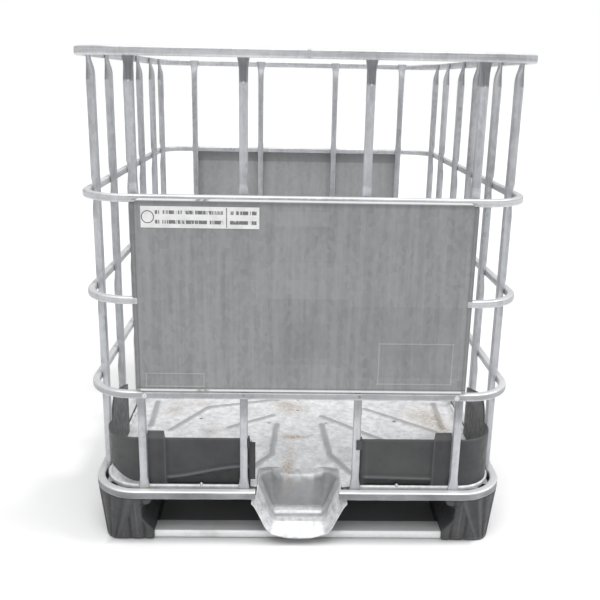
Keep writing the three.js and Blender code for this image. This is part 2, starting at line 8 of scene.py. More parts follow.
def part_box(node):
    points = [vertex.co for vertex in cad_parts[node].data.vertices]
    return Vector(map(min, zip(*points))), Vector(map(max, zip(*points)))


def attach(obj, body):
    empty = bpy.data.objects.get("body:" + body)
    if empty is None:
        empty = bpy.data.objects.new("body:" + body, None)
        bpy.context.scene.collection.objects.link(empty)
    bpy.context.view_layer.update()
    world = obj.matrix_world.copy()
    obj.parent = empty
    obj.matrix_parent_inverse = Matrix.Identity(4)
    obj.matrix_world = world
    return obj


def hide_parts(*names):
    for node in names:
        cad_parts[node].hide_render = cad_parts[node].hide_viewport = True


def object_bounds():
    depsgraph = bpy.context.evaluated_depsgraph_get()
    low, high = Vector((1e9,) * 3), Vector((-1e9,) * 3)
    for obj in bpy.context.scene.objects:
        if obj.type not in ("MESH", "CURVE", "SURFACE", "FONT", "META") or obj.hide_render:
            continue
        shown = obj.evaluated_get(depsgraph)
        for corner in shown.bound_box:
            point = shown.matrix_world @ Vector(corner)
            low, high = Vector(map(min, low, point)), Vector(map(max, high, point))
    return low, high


# Lengths are in millimetres while a piece is being shaped, and in metres once it is a mesh.
MM = 0.001
CAGE = "cage_and_pallet"

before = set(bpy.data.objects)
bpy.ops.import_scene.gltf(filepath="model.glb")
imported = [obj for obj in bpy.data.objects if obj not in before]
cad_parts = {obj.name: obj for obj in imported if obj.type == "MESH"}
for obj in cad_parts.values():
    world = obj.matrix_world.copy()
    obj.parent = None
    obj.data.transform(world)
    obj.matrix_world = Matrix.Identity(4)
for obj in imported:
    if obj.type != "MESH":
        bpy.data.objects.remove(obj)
cad_low, cad_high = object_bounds()
rng = random.Random(7)


def box_mm(node):
    """Lowest and highest corner of a CAD node, in millimetres."""
    low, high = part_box(node)
    return Vector(low) / MM, Vector(high) / MM


# ---- small maths


def smoothstep(a, b, x):
    """Eases from 0 at a to 1 at b, whichever of the two is the larger."""
    t = min(max((x - a) / (b - a), 0.0), 1.0)
    return t * t * (3 - 2 * t)


def interpolate(keys, x):
    """Straight lines between (x, value) keys."""
    if x <= keys[0][0]:
        return keys[0][1]
    for (x0, v0), (x1, v1) in zip(keys, keys[1:]):
        if x <= x1:
            return v0 + (v1 - v0) * (x - x0) / (x1 - x0)
    return keys[-1][1]


def eased(keys, x, width):
    """The same lines with their corners rounded over `width`."""
    offsets = (-1.0, -0.5, 0.0, 0.5, 1.0)
    return sum(interpolate(keys, x + width * o) for o in offsets) / len(offsets)


def mound(away, width):
    """A smooth hump: 1 where `away` is 0, fading over `width` to either side."""
    return math.exp(-((away / width) ** 2))


def spaced(start, end, step):
    """Even positions from start to end, as near to `step` apart as they can be."""
    count = max(1, round((end - start) / step))
    return [start + (end - start) * i / count for i in range(count + 1)]


CLOSEST_STATIONS = 0.3


def stations(start, end, step, marks=(), near=0.0, fine=1.0):
    """Positions from start to end every `step`, with finer ones within `near` of each mark."""
    found = set(spaced(start, end, step))
    for mark in marks:
        reach = int(near / fine)
        found |= {mark + fine * i for i in range(-reach, reach + 1)}
    ordered = sorted(p for p in found if start <= p <= end)
    kept = [ordered[0]]
    for p in ordered[1:]:
        if p - kept[-1] > CLOSEST_STATIONS:
            kept.append(p)
    kept[-1] = end
    return kept


def heading(degrees):
    """The unit vector in plan at an angle from +X, anticlockwise."""
    angle = math.radians(degrees)
    return Vector((math.cos(angle), math.sin(angle)))


# ---- making pieces


def piece(name, verts, faces, material, nodes=(), body=CAGE, layers=None):
    """A smooth mesh that rides on a body, stands for CAD nodes and may carry painted layers."""
    mesh = bpy.data.meshes.new(name)
    mesh.from_pydata([tuple(MM * c for c in v) for v in verts], [], faces)
    for layer, values in (layers or {}).items():
        painted = mesh.attributes.new(layer, "FLOAT", "POINT")
        painted.data.foreach_set("value", values)
    mesh.validate()
    obj = bpy.data.objects.new(name, mesh)
    bpy.context.scene.collection.objects.link(obj)
    mesh.materials.append(material)
    mesh.shade_smooth()
    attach(obj, body)
    if nodes:
        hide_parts(*nodes)
    return obj


def thicken(obj, thickness):
    """Gives a sheet its thickness, on the side away from its normals."""
    sheet = obj.modifiers.new("sheet", "SOLIDIFY")
    sheet.thickness = thickness * MM
    sheet.offset = -1


def bend_limit(obj, degrees):
    """Shades smooth across gentle bends only."""
    obj.data.set_sharp_from_angle(angle=math.radians(degrees))


def grid_faces(rows, columns, close_rows=False, close_columns=False):
    """Quads of a grid of rows x columns points, optionally wrapping either way."""
    faces = []
    for i in range(rows if close_rows else rows - 1):
        for j in range(columns if close_columns else columns - 1):
            a = i * columns + j
            b = i * columns + (j + 1) % columns
            c = ((i + 1) % rows) * columns + (j + 1) % columns
            d = ((i + 1) % rows) * columns + j
            faces.append((a, d, c, b))
    return faces


def turned_over(faces):
    """The same faces, looking the other way."""
    return [tuple(reversed(face)) for face in faces]


# A rectangle's corners, anticlockwise: the signs of X and Y, and where the round starts in degrees.
CORNERS = [(1, 1, 0), (-1, 1, 90), (-1, -1, 180), (1, -1, 270)]


def rounded_loop(half_x, half_y, radius, corner_steps=12, step=40.0):
    """Points and outward normals round a rounded rectangle, anticlockwise from the +X side."""
    loop = []
    for index, (sx, sy, start) in enumerate(CORNERS):
        centre = Vector((sx * (half_x - radius), sy * (half_y - radius)))
        for i in range(corner_steps + 1):
            normal = heading(start + 90 * i / corner_steps)
            loop.append((centre + radius * normal, normal))
        next_sx, next_sy, next_start = CORNERS[(index + 1) % 4]
        next_centre = Vector((next_sx * (half_x - radius), next_sy * (half_y - radius)))
        normal = heading(next_start)
        target = next_centre + radius * normal
        begin = loop[-1][0]
        count = int((target - begin).length / step)
        for i in range(1, count):
            loop.append((begin.lerp(target, i / count), normal))
    return loop


TUBE_CORNER_STEPS = 3
GROOVE_HALF = 1.2


def tube_section(depth, height, radius, groove=0.0):
    """A rounded rectangle as (out, up) points, anticlockwise, with a faint groove outside."""
    half_d, half_h = depth / 2, height / 2
    section = [(half_d, -GROOVE_HALF), (half_d - groove, 0.0), (half_d, GROOVE_HALF)]
    for sx, sy, start in CORNERS:
        for i in range(TUBE_CORNER_STEPS + 1):
            angle = math.radians(start + 90 * i / TUBE_CORNER_STEPS)
            out = sx * (half_d - radius) + radius * math.cos(angle)
            up = sy * (half_h - radius) + radius * math.sin(angle)
            section.append((out, up))
    return section


WAVE_SCALE = 0.02


def stood_off(point, normal, out, z):
    """The place that stands out from a point of a loop, at level z."""
    return point.x + normal.x * out, point.y + normal.y * out, z


def sweep(loop, section, centre_z, waviness, closed=True):
    """A section carried round a loop of (point, normal), each point nudged by smooth noise."""
    verts = []
    for point, normal in loop:
        for out, up in section:
            at = Vector(stood_off(point, normal, out, centre_z + up))
            nudge = waviness * noise.noise(at * WAVE_SCALE)
            verts.append(stood_off(at, normal, nudge, at.z))
    return verts, grid_faces(len(loop), len(section), closed, True)


def cap(start, count, flip=False):
    """One face over a ring of points."""
    ring = list(range(start, start + count))
    return tuple(reversed(ring)) if flip else tuple(ring)


# ---- materials


# The sockets that a Mix node uses for colours.
MIX_FACTOR, MIX_A, MIX_B, MIX_RESULT = 0, 6, 7, 2


class Nodes:
    """Short calls for building one node material."""

    def __init__(self, name):
        self.material = bpy.data.materials.new(name)
        self.material.use_nodes = True
        self.tree = self.material.node_tree
        self.shader = self.tree.nodes["Principled BSDF"]
        coordinates = self.tree.nodes.new("ShaderNodeTexCoord")
        self.object_space = coordinates.outputs["Object"]

    def link(self, source, target):
        """Joins an output to an input."""
        self.tree.links.new(source, target)

    def add(self, kind, values=None):
        """A new node of one kind, with its inputs set from a table of names and values."""
        node = self.tree.nodes.new(f"ShaderNode{kind}")
        for name, value in (values or {}).items():
            node.inputs[name].default_value = value
        return node

    def feed(self, socket, value):
        """Sets an input to a number or a colour, or links an output to it."""
        if isinstance(value, (int, float)):
            socket.default_value = value
        elif isinstance(value, tuple):
            socket.default_value = (*value, 1.0)
        else:
            self.link(value, socket)

    def stretched(self, scale):
        """Object coordinates, scaled along each axis."""
        node = self.add("Mapping", {"Scale": scale})
        self.link(self.object_space, node.inputs["Vector"])
        return node.outputs["Vector"]

    def noise(self, scale, detail=4.0, rough=0.55, stretch=(1, 1, 1), distortion=0.0):
        """Cloudy noise from 0 to 1."""
        values = {"Scale": scale, "Detail": detail, "Roughness": rough, "Distortion": distortion}
        node = self.add("TexNoise", values)
        self.link(self.stretched(stretch), node.inputs["Vector"])
        return node.outputs["Fac"]

    def cells(self, scale, stretch):
        """Crystal-like cells, each of one random grey."""
        node = self.add("TexVoronoi", {"Scale": scale})
        self.link(self.stretched(stretch), node.inputs["Vector"])
        bright = self.add("SeparateColor")
        self.link(node.outputs["Color"], bright.inputs["Color"])
        return bright.outputs["Red"]

    def painted(self, layer):
        """A value that the mesh carries at its points, 0 where it carries none."""
        node = self.add("Attribute")
        node.attribute_name = layer
        return node.outputs["Fac"]

    def remap(self, value, low, high, to_low=0.0, to_high=1.0):
        """Carries low..high over to to_low..to_high, eased at both ends."""
        limits = {"From Min": low, "From Max": high, "To Min": to_low, "To Max": to_high}
        node = self.add("MapRange", limits)
        node.interpolation_type = "SMOOTHSTEP"
        self.link(value, node.inputs["Value"])
        return node.outputs["Result"]

    def times(self, a, b):
        """One value times another."""
        node = self.add("Math")
        node.operation = "MULTIPLY"
        self.feed(node.inputs[0], a)
        self.feed(node.inputs[1], b)
        return node.outputs["Value"]

    def mix(self, factor, a, b):
        """Colour a where the factor is 0 and colour b where it is 1."""
        node = self.add("Mix")
        node.data_type = "RGBA"
        for index, value in ((MIX_FACTOR, factor), (MIX_A, a), (MIX_B, b)):
            self.feed(node.inputs[index], value)
        return node.outputs[MIX_RESULT]

    def tint(self, base, mask, amount, colour):
        """Lays a colour over the base where the mask is high, as strongly as `amount`."""
        return self.mix(self.times(mask, amount), base, colour)

    def band(self, letter, low, high, soft):
        """1 between low and high along an axis, fading over `soft` at each end."""
        node = self.add("SeparateXYZ")
        self.link(self.object_space, node.inputs["Vector"])
        rise = self.remap(node.outputs[letter], low - soft, low + soft)
        fall = self.remap(node.outputs[letter], high - soft, high + soft, 1.0, 0.0)
        return self.times(rise, fall)

    def patch(self, left, right, bottom, top, soft=0.0012):
        """1 inside an upright rectangle given in millimetres."""
        across = self.band("X", left * MM, right * MM, soft)
        return self.times(across, self.band("Z", bottom * MM, top * MM, soft))

    def bump(self, height, strength, distance):
        """Roughens the surface by a pattern of heights."""
        node = self.add("Bump", {"Strength": strength, "Distance": distance})
        self.link(height, node.inputs["Height"])
        self.link(node.outputs["Normal"], self.shader.inputs["Normal"])

    def colour(self, socket):
        """Gives the surface its colour."""
        self.link(socket, self.shader.inputs["Base Color"])

    def roughness(self, socket):
        """Gives the surface its roughness."""
        self.link(socket, self.shader.inputs["Roughness"])


RUST = (0.30, 0.20, 0.11)
RUST_PALE = (0.60, 0.52, 0.40)
# The colour of painted highlights on zinc.
HIGHLIGHT_ZINC = (0.97, 0.97, 0.98)


def zinc(name, dark, light, metallic, streak=(1, 1, 1), dirt=0.25, gloss=0.4, patches=()):
    """Zinc over steel: pale crystals, streaks, dull patches, grime, painted shade in hollows, painted
    highlights and rust stains.
    """
    n = Nodes(name)
    streaks = n.noise(60, 5, 0.6, streak)
    base = n.mix(n.remap(streaks, 0.3, 0.72), dark, light)
    pale = tuple(min(1.0, c * 1.15) for c in light)
    grime_and_shade = tuple(c * 0.5 for c in dark)
    base = n.tint(base, n.cells(120, (1, 1, 0.6)), 0.4, pale)
    base = n.tint(base, n.remap(n.noise(13, 3, 0.5), 0.48, 0.75), dirt, grime_and_shade)
    for rectangle, amount in patches:
        base = n.tint(base, n.patch(*rectangle), abs(amount), pale if amount > 0 else grime_and_shade)
    # Painted shade: the shade layer darkens hollows, creases and faces turned from the light.
    base = n.tint(base, n.painted("shade"), 0.8, grime_and_shade)
    # Painted highlight on rolled edges, ring tops and raised lines, where they catch the light.
    base = n.tint(base, n.painted("painted_highlight"), 0.9, HIGHLIGHT_ZINC)
    speckle = n.remap(n.noise(150, 6, 0.75, distortion=0.4), 0.44, 0.62)
    stain_and_shadow = n.times(n.painted("rust"), speckle)
    base = n.tint(base, n.painted("rust"), 0.5, RUST_PALE)
    base = n.tint(base, stain_and_shadow, 0.9, RUST)
    n.colour(base)
    n.roughness(n.remap(n.noise(30, 4, 0.6, streak), 0.3, 0.7, gloss - 0.06, gloss + 0.16))
    n.shader.inputs["Metallic"].default_value = metallic
    n.bump(n.noise(240, 3, 0.6, streak), 0.25, 0.0004)
    return n.material


SCUFFED, DUSTY = (0.26, 0.26, 0.27), (0.13, 0.13, 0.12)
# Colours of painted shade and painted highlights on black plastic.
SHADED_BLACK, HIGHLIGHT_BLACK = (0.012, 0.012, 0.013), (0.24, 0.24, 0.25)


def moulded(name, dark, light, rough, scuff=0.5):
    """Black moulded plastic: a fine grain, cloudy greying, pale scuffs and dust, painted shade and painted
    highlights.
    """
    n = Nodes(name)
    base = n.mix(n.remap(n.noise(9, 4, 0.6), 0.3, 0.7), dark, light)
    scratches = n.remap(n.noise(140, 5, 0.7, (1, 1, 0.12)), 0.60, 0.74)
    patches = n.remap(n.noise(12, 3, 0.5), 0.5, 0.68)
    base = n.tint(base, n.times(scratches, patches), scuff, SCUFFED)
    base = n.tint(base, n.remap(n.noise(3.5, 2, 0.5), 0.45, 0.8), 0.25, DUSTY)
    base = n.tint(base, n.painted("shade"), 0.85, SHADED_BLACK)
    base = n.tint(base, n.painted("painted_highlight"), 0.7, HIGHLIGHT_BLACK)
    n.colour(base)
    n.roughness(n.remap(n.noise(60, 4, 0.6), 0.3, 0.7, rough - 0.08, rough + 0.12))
    n.bump(n.noise(900, 2, 0.5), 0.35, 0.0002)
    return n.material


INK, TICK_INK = (0.04, 0.04, 0.04), (0.05, 0.05, 0.05)
# Left and right of the tick columns, bottom and top of the rows, and the ring's centre in metres.
TICK_COLUMNS = [(-321, -176), (-161, -104)]
TICK_ROWS = [(811, 819), (790, 798)]
PRINTED_RING_CENTRE = (-0.337, 0, 0.8045)


def printed_label():
    """White film with a plain ring, a divider and rows of ticks that stand in for print."""
    n = Nodes("printed_label")
    white = n.mix(n.remap(n.noise(40, 4, 0.6), 0.3, 0.8), (0.84, 0.84, 0.84), (0.70, 0.70, 0.70))
    ticks = n.remap(n.noise(420, 1, 0.4, (1, 1, 0.05)), 0.42, 0.47)
    for column in TICK_COLUMNS:
        for row in TICK_ROWS:
            white = n.tint(white, n.times(n.patch(*column, *row, 0.0006), ticks), 0.85, TICK_INK)
    white = n.mix(n.patch(-169, -167.4, 783, 826, 0.0004), white, INK)
    gap = n.add("VectorMath")
    gap.operation = "DISTANCE"
    n.link(n.stretched((1, 0, 1)), gap.inputs[0])
    gap.inputs[1].default_value = PRINTED_RING_CENTRE
    outside = n.remap(gap.outputs["Value"], 0.0118, 0.0124)
    inside = n.remap(gap.outputs["Value"], 0.0136, 0.0142, 1.0, 0.0)
    white = n.tint(white, outside, inside, INK)
    n.colour(white)
    n.roughness(n.remap(n.noise(80, 3, 0.5), 0.3, 0.7, 0.35, 0.55))
    n.bump(n.noise(500, 2, 0.5), 0.1, 0.0001)
    return n.material


UPWARD_STREAK, PLATE_STREAK = (1, 1, 0.08), (1, 1, 0.05)
ALONG_STREAK = (0.12, 0.12, 1)
# Ghosts of stickers on the front plate: left, right, bottom, top and how pale or dark.
GHOSTS = [
    ((-64, 53, 788, 820), 0.30),
    ((-104, 103, 625, 707), 0.16),
    ((103, 357, 440, 609), -0.10),
    ((-78, 103, 470, 625), -0.09),
    ((-54, 58, 486, 569), -0.10),
    ((-40, 12, 636, 668), 0.22),
]
# A darker band along the top of the rear plate, in the same form.
REAR_SHADOW = [((-376, 376, 800, 845), -0.45)]
tube_zinc = zinc("tube_zinc", (0.38, 0.39, 0.41), (0.60, 0.61, 0.64), 0.5, UPWARD_STREAK)
ring_zinc = zinc("ring_zinc", (0.46, 0.47, 0.49), (0.74, 0.75, 0.77), 0.45, ALONG_STREAK)
base_zinc = zinc("base_zinc", (0.32, 0.33, 0.34), (0.58, 0.59, 0.60), 0.45, ALONG_STREAK, 0.5)
plate_dark, plate_light = (0.225, 0.23, 0.235), (0.315, 0.32, 0.325)
plate_zinc = zinc("plate_zinc", plate_dark, plate_light, 0.25, PLATE_STREAK, 0.12, 0.5, GHOSTS)
rear_dark, rear_light = (0.36, 0.365, 0.37), (0.43, 0.435, 0.44)
rear_zinc = zinc("rear_zinc", rear_dark, rear_light, 0.25, PLATE_STREAK, 0.12, 0.5, REAR_SHADOW)
deck_zinc = zinc("deck_zinc", (0.68, 0.69, 0.71), (0.99, 0.99, 1.0), 0.1, dirt=0.25)
# The deck's zinc made darker for the scoop, as painted shade.
trough_zinc = zinc("trough_zinc", (0.52, 0.53, 0.55), (0.86, 0.87, 0.88), 0.25, dirt=0.22)
skid_zinc = zinc("skid_zinc", (0.86, 0.87, 0.88), (0.99, 0.99, 1.0), 0.1, ALONG_STREAK, 0.4)
bolt_zinc = zinc("bolt_zinc", (0.55, 0.56, 0.58), (0.85, 0.86, 0.87), 0.7, gloss=0.3)
foot_black = moulded("foot_black", (0.036, 0.037, 0.040), (0.062, 0.063, 0.067), 0.5)
guard_black = moulded("guard_black", (0.036, 0.037, 0.040), (0.052, 0.053, 0.056), 0.45, 0.3)
label_print = printed_label()


# ---- cage rings

HALF_X, HALF_Y, TOP = (value / MM for value in cad_high)
INNER_X, INNER_Y = HALF_X - 20, HALF_Y - 20
CORNER_RADIUS = 110.0
# How far a tube stays inside its CAD node on every side.
SKIN = 0.4
GAP_LEFT, GAP_RIGHT = -105.0, 95.0


def ring_level(node):
    """The level of the middle of a ring's tube."""
    low, high = box_mm(node)
    return (low.z + high.z) / 2


def ring_shape(node):
    """The centre line of a ring's tube in plan, the tube's depth and height, and its level."""
    low, high = box_mm(node)
    depth = high.x - INNER_X
    centre_x, centre_y = INNER_X + depth / 2, INNER_Y + depth / 2
    loop = rounded_loop(centre_x, centre_y, CORNER_RADIUS - (HALF_X - centre_x))
    return loop, depth - 2 * SKIN, high.z - low.z - 2 * SKIN, ring_level(node)


RING_CORNER, RING_GROOVE, EDGE_BAND = 4.6, 0.4, 3.0
# How much painted shade each ring carries on its outer face.
FACE_SHADE = {"top_ring": 0.4, "upper_ring": 0.3, "middle_ring": 0.3, "lower_ring": 0.75}


def make_ring(node, face_shade):
    """A closed ring with painted shade on its outer face and a painted highlight along its top."""
    loop, depth, height, level = ring_shape(node)
    section = tube_section(depth, height, RING_CORNER, RING_GROOVE)
    verts, faces = sweep(loop, section, level, 0.5)
    edge = height / 2 - EDGE_BAND
    shaded_face = [face_shade if abs(up) < edge and out > 0 else 0.0 for out, up in section]
    # Painted highlight along the top of the tube.
    bright = [0.8 if up > edge and abs(out) < depth / 2 - 1 else 0.0 for out, up in section]
    layers = {"shade": shaded_face * len(loop), "painted_highlight": bright * len(loop)}
    piece(f"{node}_tube", verts, faces, ring_zinc, [node], layers=layers)


for ring, ring_shade in FACE_SHADE.items():
    make_ring(ring, ring_shade)


# The weld's way up a ring's face and in over its top, as (inward, up in half heights of the tube).
WELD_ON_FACE = [(-0.2, -1.0), (-0.4, -0.5), (-0.4, 0.0), (-0.4, 0.5), (-0.2, 1.0)]
WELD_ON_TOP = [(4, 1.04), (12, 1.04)]
WELD_POINTS, WELD_SPREAD, WELD_PROUD = 7, 3.6, 0.9


def weld_seam(name, x, y, level, half_height):
    """A lumpy bead of weld across the outer face and the top of a ring."""
    path = WELD_ON_FACE + WELD_ON_TOP
    verts = []
    for index, (inward, up) in enumerate(path):
        on_top = 1.0 if index >= len(WELD_ON_FACE) else 0.0
        for step in range(WELD_POINTS):
            angle = math.radians(180 * step / (WELD_POINTS - 1))
            swell = 1.0 + 0.4 * rng.random()
            spread = WELD_SPREAD * swell * math.cos(angle)
            proud = WELD_PROUD * swell * math.sin(angle)
            out = min(-0.5, -inward - 1.0 + proud * (1 - on_top))
            z = min(level + up * half_height + on_top * (proud - 1.4), TOP - 0.1)
            verts.append((x + spread, y - out, z))
    faces = grid_faces(len(path), WELD_POINTS)
    piece(name, verts, faces, ring_zinc, layers={"shade": [0.5] * len(verts)})


weld_seam("top_ring_weld", 2, -HALF_Y - 0.4, TOP - 10, 9.6)


def base_section(depth, height, fold):
    """The base ring's tube: a flat top, a face pressed in along its middle, and a thin lower edge."""
    d, h = depth / 2, height / 2
    return [
        (d - fold * 0.1, -h + 1.0),
        (d, -h + 2.4),
        (d - 0.3, -h + 4.2),
        (d - 0.6 * fold, -h + 5.6),
        (d - fold, -1.0),
        (d - 0.6 * fold, 2.2),
        (d - 0.1, 3.4),
        (d, h - 3.6),
        (d - 1.2, h - 1.1),
        (d - 3.8, h),
        (-d + 3.8, h),
        (-d + 1.2, h - 1.1),
        (-d, h - 3.6),
        (-d, -h + 3.6),
        (-d + 1.2, -h + 1.1),
        (-d + 3.8, -h),
        (d - 3.0, -h),
    ]


def cut_open(loop, in_gap):
    """A loop without its points in a gap, running anticlockwise from the end of the gap."""
    kept = [(point, normal) for point, normal in loop if not in_gap(point)]
    start = max(range(len(kept)), key=lambda i: (kept[i][0] - kept[i - 1][0]).length)
    return kept[start:] + kept[:start]


def gapped(loop):
    """A ring's loop cut open at the front, with an end on each edge of the gap."""
    kept = cut_open(loop, lambda point: point.y < -INNER_Y and GAP_LEFT <= point.x <= GAP_RIGHT)
    face_y = kept[0][0].y
    first = (Vector((GAP_RIGHT, face_y)), Vector((0, -1)))
    last = (Vector((GAP_LEFT, face_y)), Vector((0, -1)))
    return [first, *kept, last]


def make_base_ring():
    """The base ring stops either side of the trough. Its bends are creased deeper than its runs."""
    loop, depth, height, level = ring_shape("base_ring")
    path = gapped(loop)
    verts, shade, painted_highlight = [], [], []
    for point, normal in path:
        bend = min(abs(normal.x), abs(normal.y)) * 1.9
        section = base_section(depth, height, 0.9 + 1.4 * min(1.0, bend))
        for out, up in section:
            at = Vector((point.x, point.y, up)) * 0.03
            nudge = (0.3 + 0.6 * bend) * noise.noise(at)
            droop = 1.2 * noise.noise(at * 2.3 + Vector((9, 0, 0))) if up < -height / 2 + 3 else 0
            out = min(out + nudge - 0.5, depth / 2)
            verts.append(stood_off(point, normal, out, level + up + droop))
            # Painted shade, mottled by noise, on the outer face, and a painted highlight along the top.
            blotch = 0.5 + noise.noise(Vector((point.x, point.y, 0)) * 0.035)
            shade.append(0.5 + 0.5 * blotch if -8 < up < 7 and out > 0 else 0.0)
            painted_highlight.append(0.9 if up > height / 2 - 2 else 0.0)
    count = len(base_section(depth, height, 1))
    faces = grid_faces(len(path), count, False, True)
    layers = {"shade": shade, "painted_highlight": painted_highlight}
    piece("base_ring_tube", verts, faces, base_zinc, ["base_ring"], layers=layers)
    for name, x in (("base_ring_end_left", GAP_LEFT - 0.3), ("base_ring_end_right", GAP_RIGHT + 0.3)):
        y = path[0][0].y
        ends = [(x, y - out, level + up) for out, up in base_section(depth, height, 0.9)]
        face = cap(0, count, x > 0)
        # The cut ends carry some painted shade.
        piece(name, ends, [face], base_zinc, layers={"shade": [0.35] * count})


make_base_ring()

# ---- uprights

UPRIGHT_RADIUS = 3.4
RING_LEVELS = [ring_level(ring) for ring in ("lower_ring", "middle_ring", "upper_ring")]
TOP_DISH = 67.0
# The tube's outer and inner faces, measured out from the rings' inner face, free and flattened.
FREE_FACE, FLAT_FACE = 3.0, -0.2
FREE_BACK, FLAT_BACK = -15.0, -5.1
FREE_HALF = 9.0
RUSTY_UPRIGHT = "front_upright_1"


def upright_keys():
    """How an upright's outer face, inner face, half width, dish and painted shade change up its length."""
    low, high = box_mm("front_upright_1")
    bottom, top = low.z, high.z
    outer = [(bottom, FLAT_FACE), (bottom + 24, FLAT_FACE), (bottom + 38, FREE_FACE)]
    dish = [(bottom, 0.0), (bottom + 45, 0.0)]
    bulge = [(bottom, 0.0)]
    # Painted shade on the outer face: at the flattened foot, about each ring and in the top dish under the
    # top ring.
    shade = [(bottom, 0.5), (bottom + 30, 0.2), (bottom + 70, 0.0)]
    for level in RING_LEVELS:
        outer += [(level - 45, FREE_FACE), (level - 13, FLAT_FACE)]
        outer += [(level + 13, FLAT_FACE), (level + 26, FREE_FACE)]
        dish += [(level - 64, 0.0), (level - 24, 2.6), (level + 16, 1.6), (level + 28, 0.0)]
        bulge += [(level - 14, 0.0), (level - 9, 1.3), (level + 12, 1.3), (level + 30, 0.0)]
        shade += [(level - 66, 0.0), (level - 60, 0.4), (level - 14, 0.45), (level + 12, 0.1)]
        shade += [(level + 30, 0.0), (level + 34, 0.45), (level + 60, 0.1), (level + 110, 0.0)]
    crisp = top - TOP_DISH
    outer += [(crisp, FREE_FACE), (top - 20, FLAT_FACE), (top, FLAT_FACE)]
    dish += [(crisp - 2, 0.0), (crisp + 3, 4.2), (top - 24, 2.8), (top, 0.2)]
    shade += [(crisp - 1, 0.0), (crisp + 1, 0.85), (top - 16, 0.9), (top, 0.5)]
    inner = [(bottom, FLAT_BACK), (bottom + 22, FLAT_BACK), (bottom + 48, FREE_BACK)]
    inner += [(top - 52, FREE_BACK), (top - 42, -13.5), (top - 18, FLAT_BACK), (top, FLAT_BACK)]
    width = [(bottom, 14.0), (bottom + 22, 13.0), (bottom + 46, FREE_HALF)]
    width += [(crisp, FREE_HALF), (top - 36, 9.6), (top - 14, 13.5), (top, 15.0)]
    keys = {"outer": outer, "inner": inner, "width": width, "dish": dish, "bulge": bulge, "shade": shade}
    return bottom, top, keys


def upright_section(outer, inner, half, dish):
    """A rounded tube section whose outer face sinks by `dish` in its middle."""
    r = min(UPRIGHT_RADIUS, (outer - inner) * 0.42)
    flat = half - r
    places = (1, 0.6, 0.2, -0.2, -0.6, -1)
    ring = [(flat * place, outer - dish * (1 - place * place)) for place in places]
    left = [(-flat, outer - r, 90), (-flat, inner + r, 180)]
    right = [(flat, inner + r, 270), (flat, outer - r, 0)]
    for cx, cy, start in left + right:
        for i in range(1 if start == 90 else 0, 4):
            angle = math.radians(start + 30 * i)
            ring.append((cx + r * math.cos(angle), cy + r * math.sin(angle)))
    return ring[:-1]


# How far an upright's lines are rounded along its length: the crisper ones, then the rest.
CRISP_EASE = {"outer": 1.2, "dish": 1.5, "shade": 1.5}
SOFT_EASE = 4


def upright_mesh():
    """One upright, its outer side towards +Y and the rings' inner face at y = 0."""
    bottom, top, keys = upright_keys()
    marks = [level + 27 for level in RING_LEVELS] + [top - TOP_DISH]
    verts, shade = [], []
    for z in stations(bottom, top, 10.0, marks, 6.0, 1.5):
        at = {name: eased(line, z, CRISP_EASE.get(name, SOFT_EASE)) for name, line in keys.items()}
        outer = at["outer"]
        dish = min(at["dish"], (outer - at["inner"]) * 0.55)
        section = upright_section(outer, at["inner"], at["width"] + at["bulge"], dish)
        verts += [(x, y, z) for x, y in section]
        shade += [at["shade"] if y > outer - 4 else 0.0 for _, y in section]
    count = len(section)
    faces = turned_over(grid_faces(len(verts) // count, count, False, True))
    faces += [cap(0, count), cap(len(verts) - count, count, True)]
    return verts, faces, shade


UPRIGHT = upright_mesh()


def make_upright(node, turn):
    """Places the upright on a CAD node, turned about Z so that its outer side faces out."""
    low, high = box_mm(node)
    middle = (low + high) / 2
    stands_at = {
        0: (middle.x, INNER_Y),
        90: (-INNER_X, middle.y),
        180: (middle.x, -INNER_Y),
        -90: (INNER_X, middle.y),
    }
    rotation = Matrix.Rotation(math.radians(turn), 3, "Z")
    base = Vector((*stands_at[turn], 0))
    local, faces, shade = UPRIGHT
    verts = [rotation @ Vector(v) + base for v in local]
    rust = [0.0] * len(verts)
    if node == RUSTY_UPRIGHT:
        rust = [1 - smoothstep(128, 168, v.z) for v in verts]
    layers = {"shade": shade, "rust": rust}
    obj = piece(f"{node}_tube", verts, faces, tube_zinc, [node], layers=layers)
    bend_limit(obj, 50)


for side, turn, count in (("front", 180, 4), ("rear", 0, 4), ("left", 90, 6), ("right", -90, 6)):
    for number in range(1, count + 1):
        make_upright(f"{side}_upright_{number}", turn)

# ---- plates, label and fasteners

PLATE_CORNER = 16.0
PLATE_BACK = 1.7
PLATE_THICKNESS = 1.2
PLATE_ROLL = 3.0
NOTCHES = (232, 218)
FRAMES_ON_PLATE = [(-352, -222, 415, 446), (173, 340, 425, 522)]


def frame_line(x, z, frames):
    """How much a point stands on the line of a raised rectangle, from 0 to 1."""
    best = 0.0
    for left, right, bottom, top in frames:
        if left - 2 <= x <= right + 2 and bottom - 2 <= z <= top + 2:
            away = min(abs(x - left), abs(x - right), abs(z - bottom), abs(z - top))
            best = max(best, 1 - smoothstep(0.6, 2.0, away))
    return best


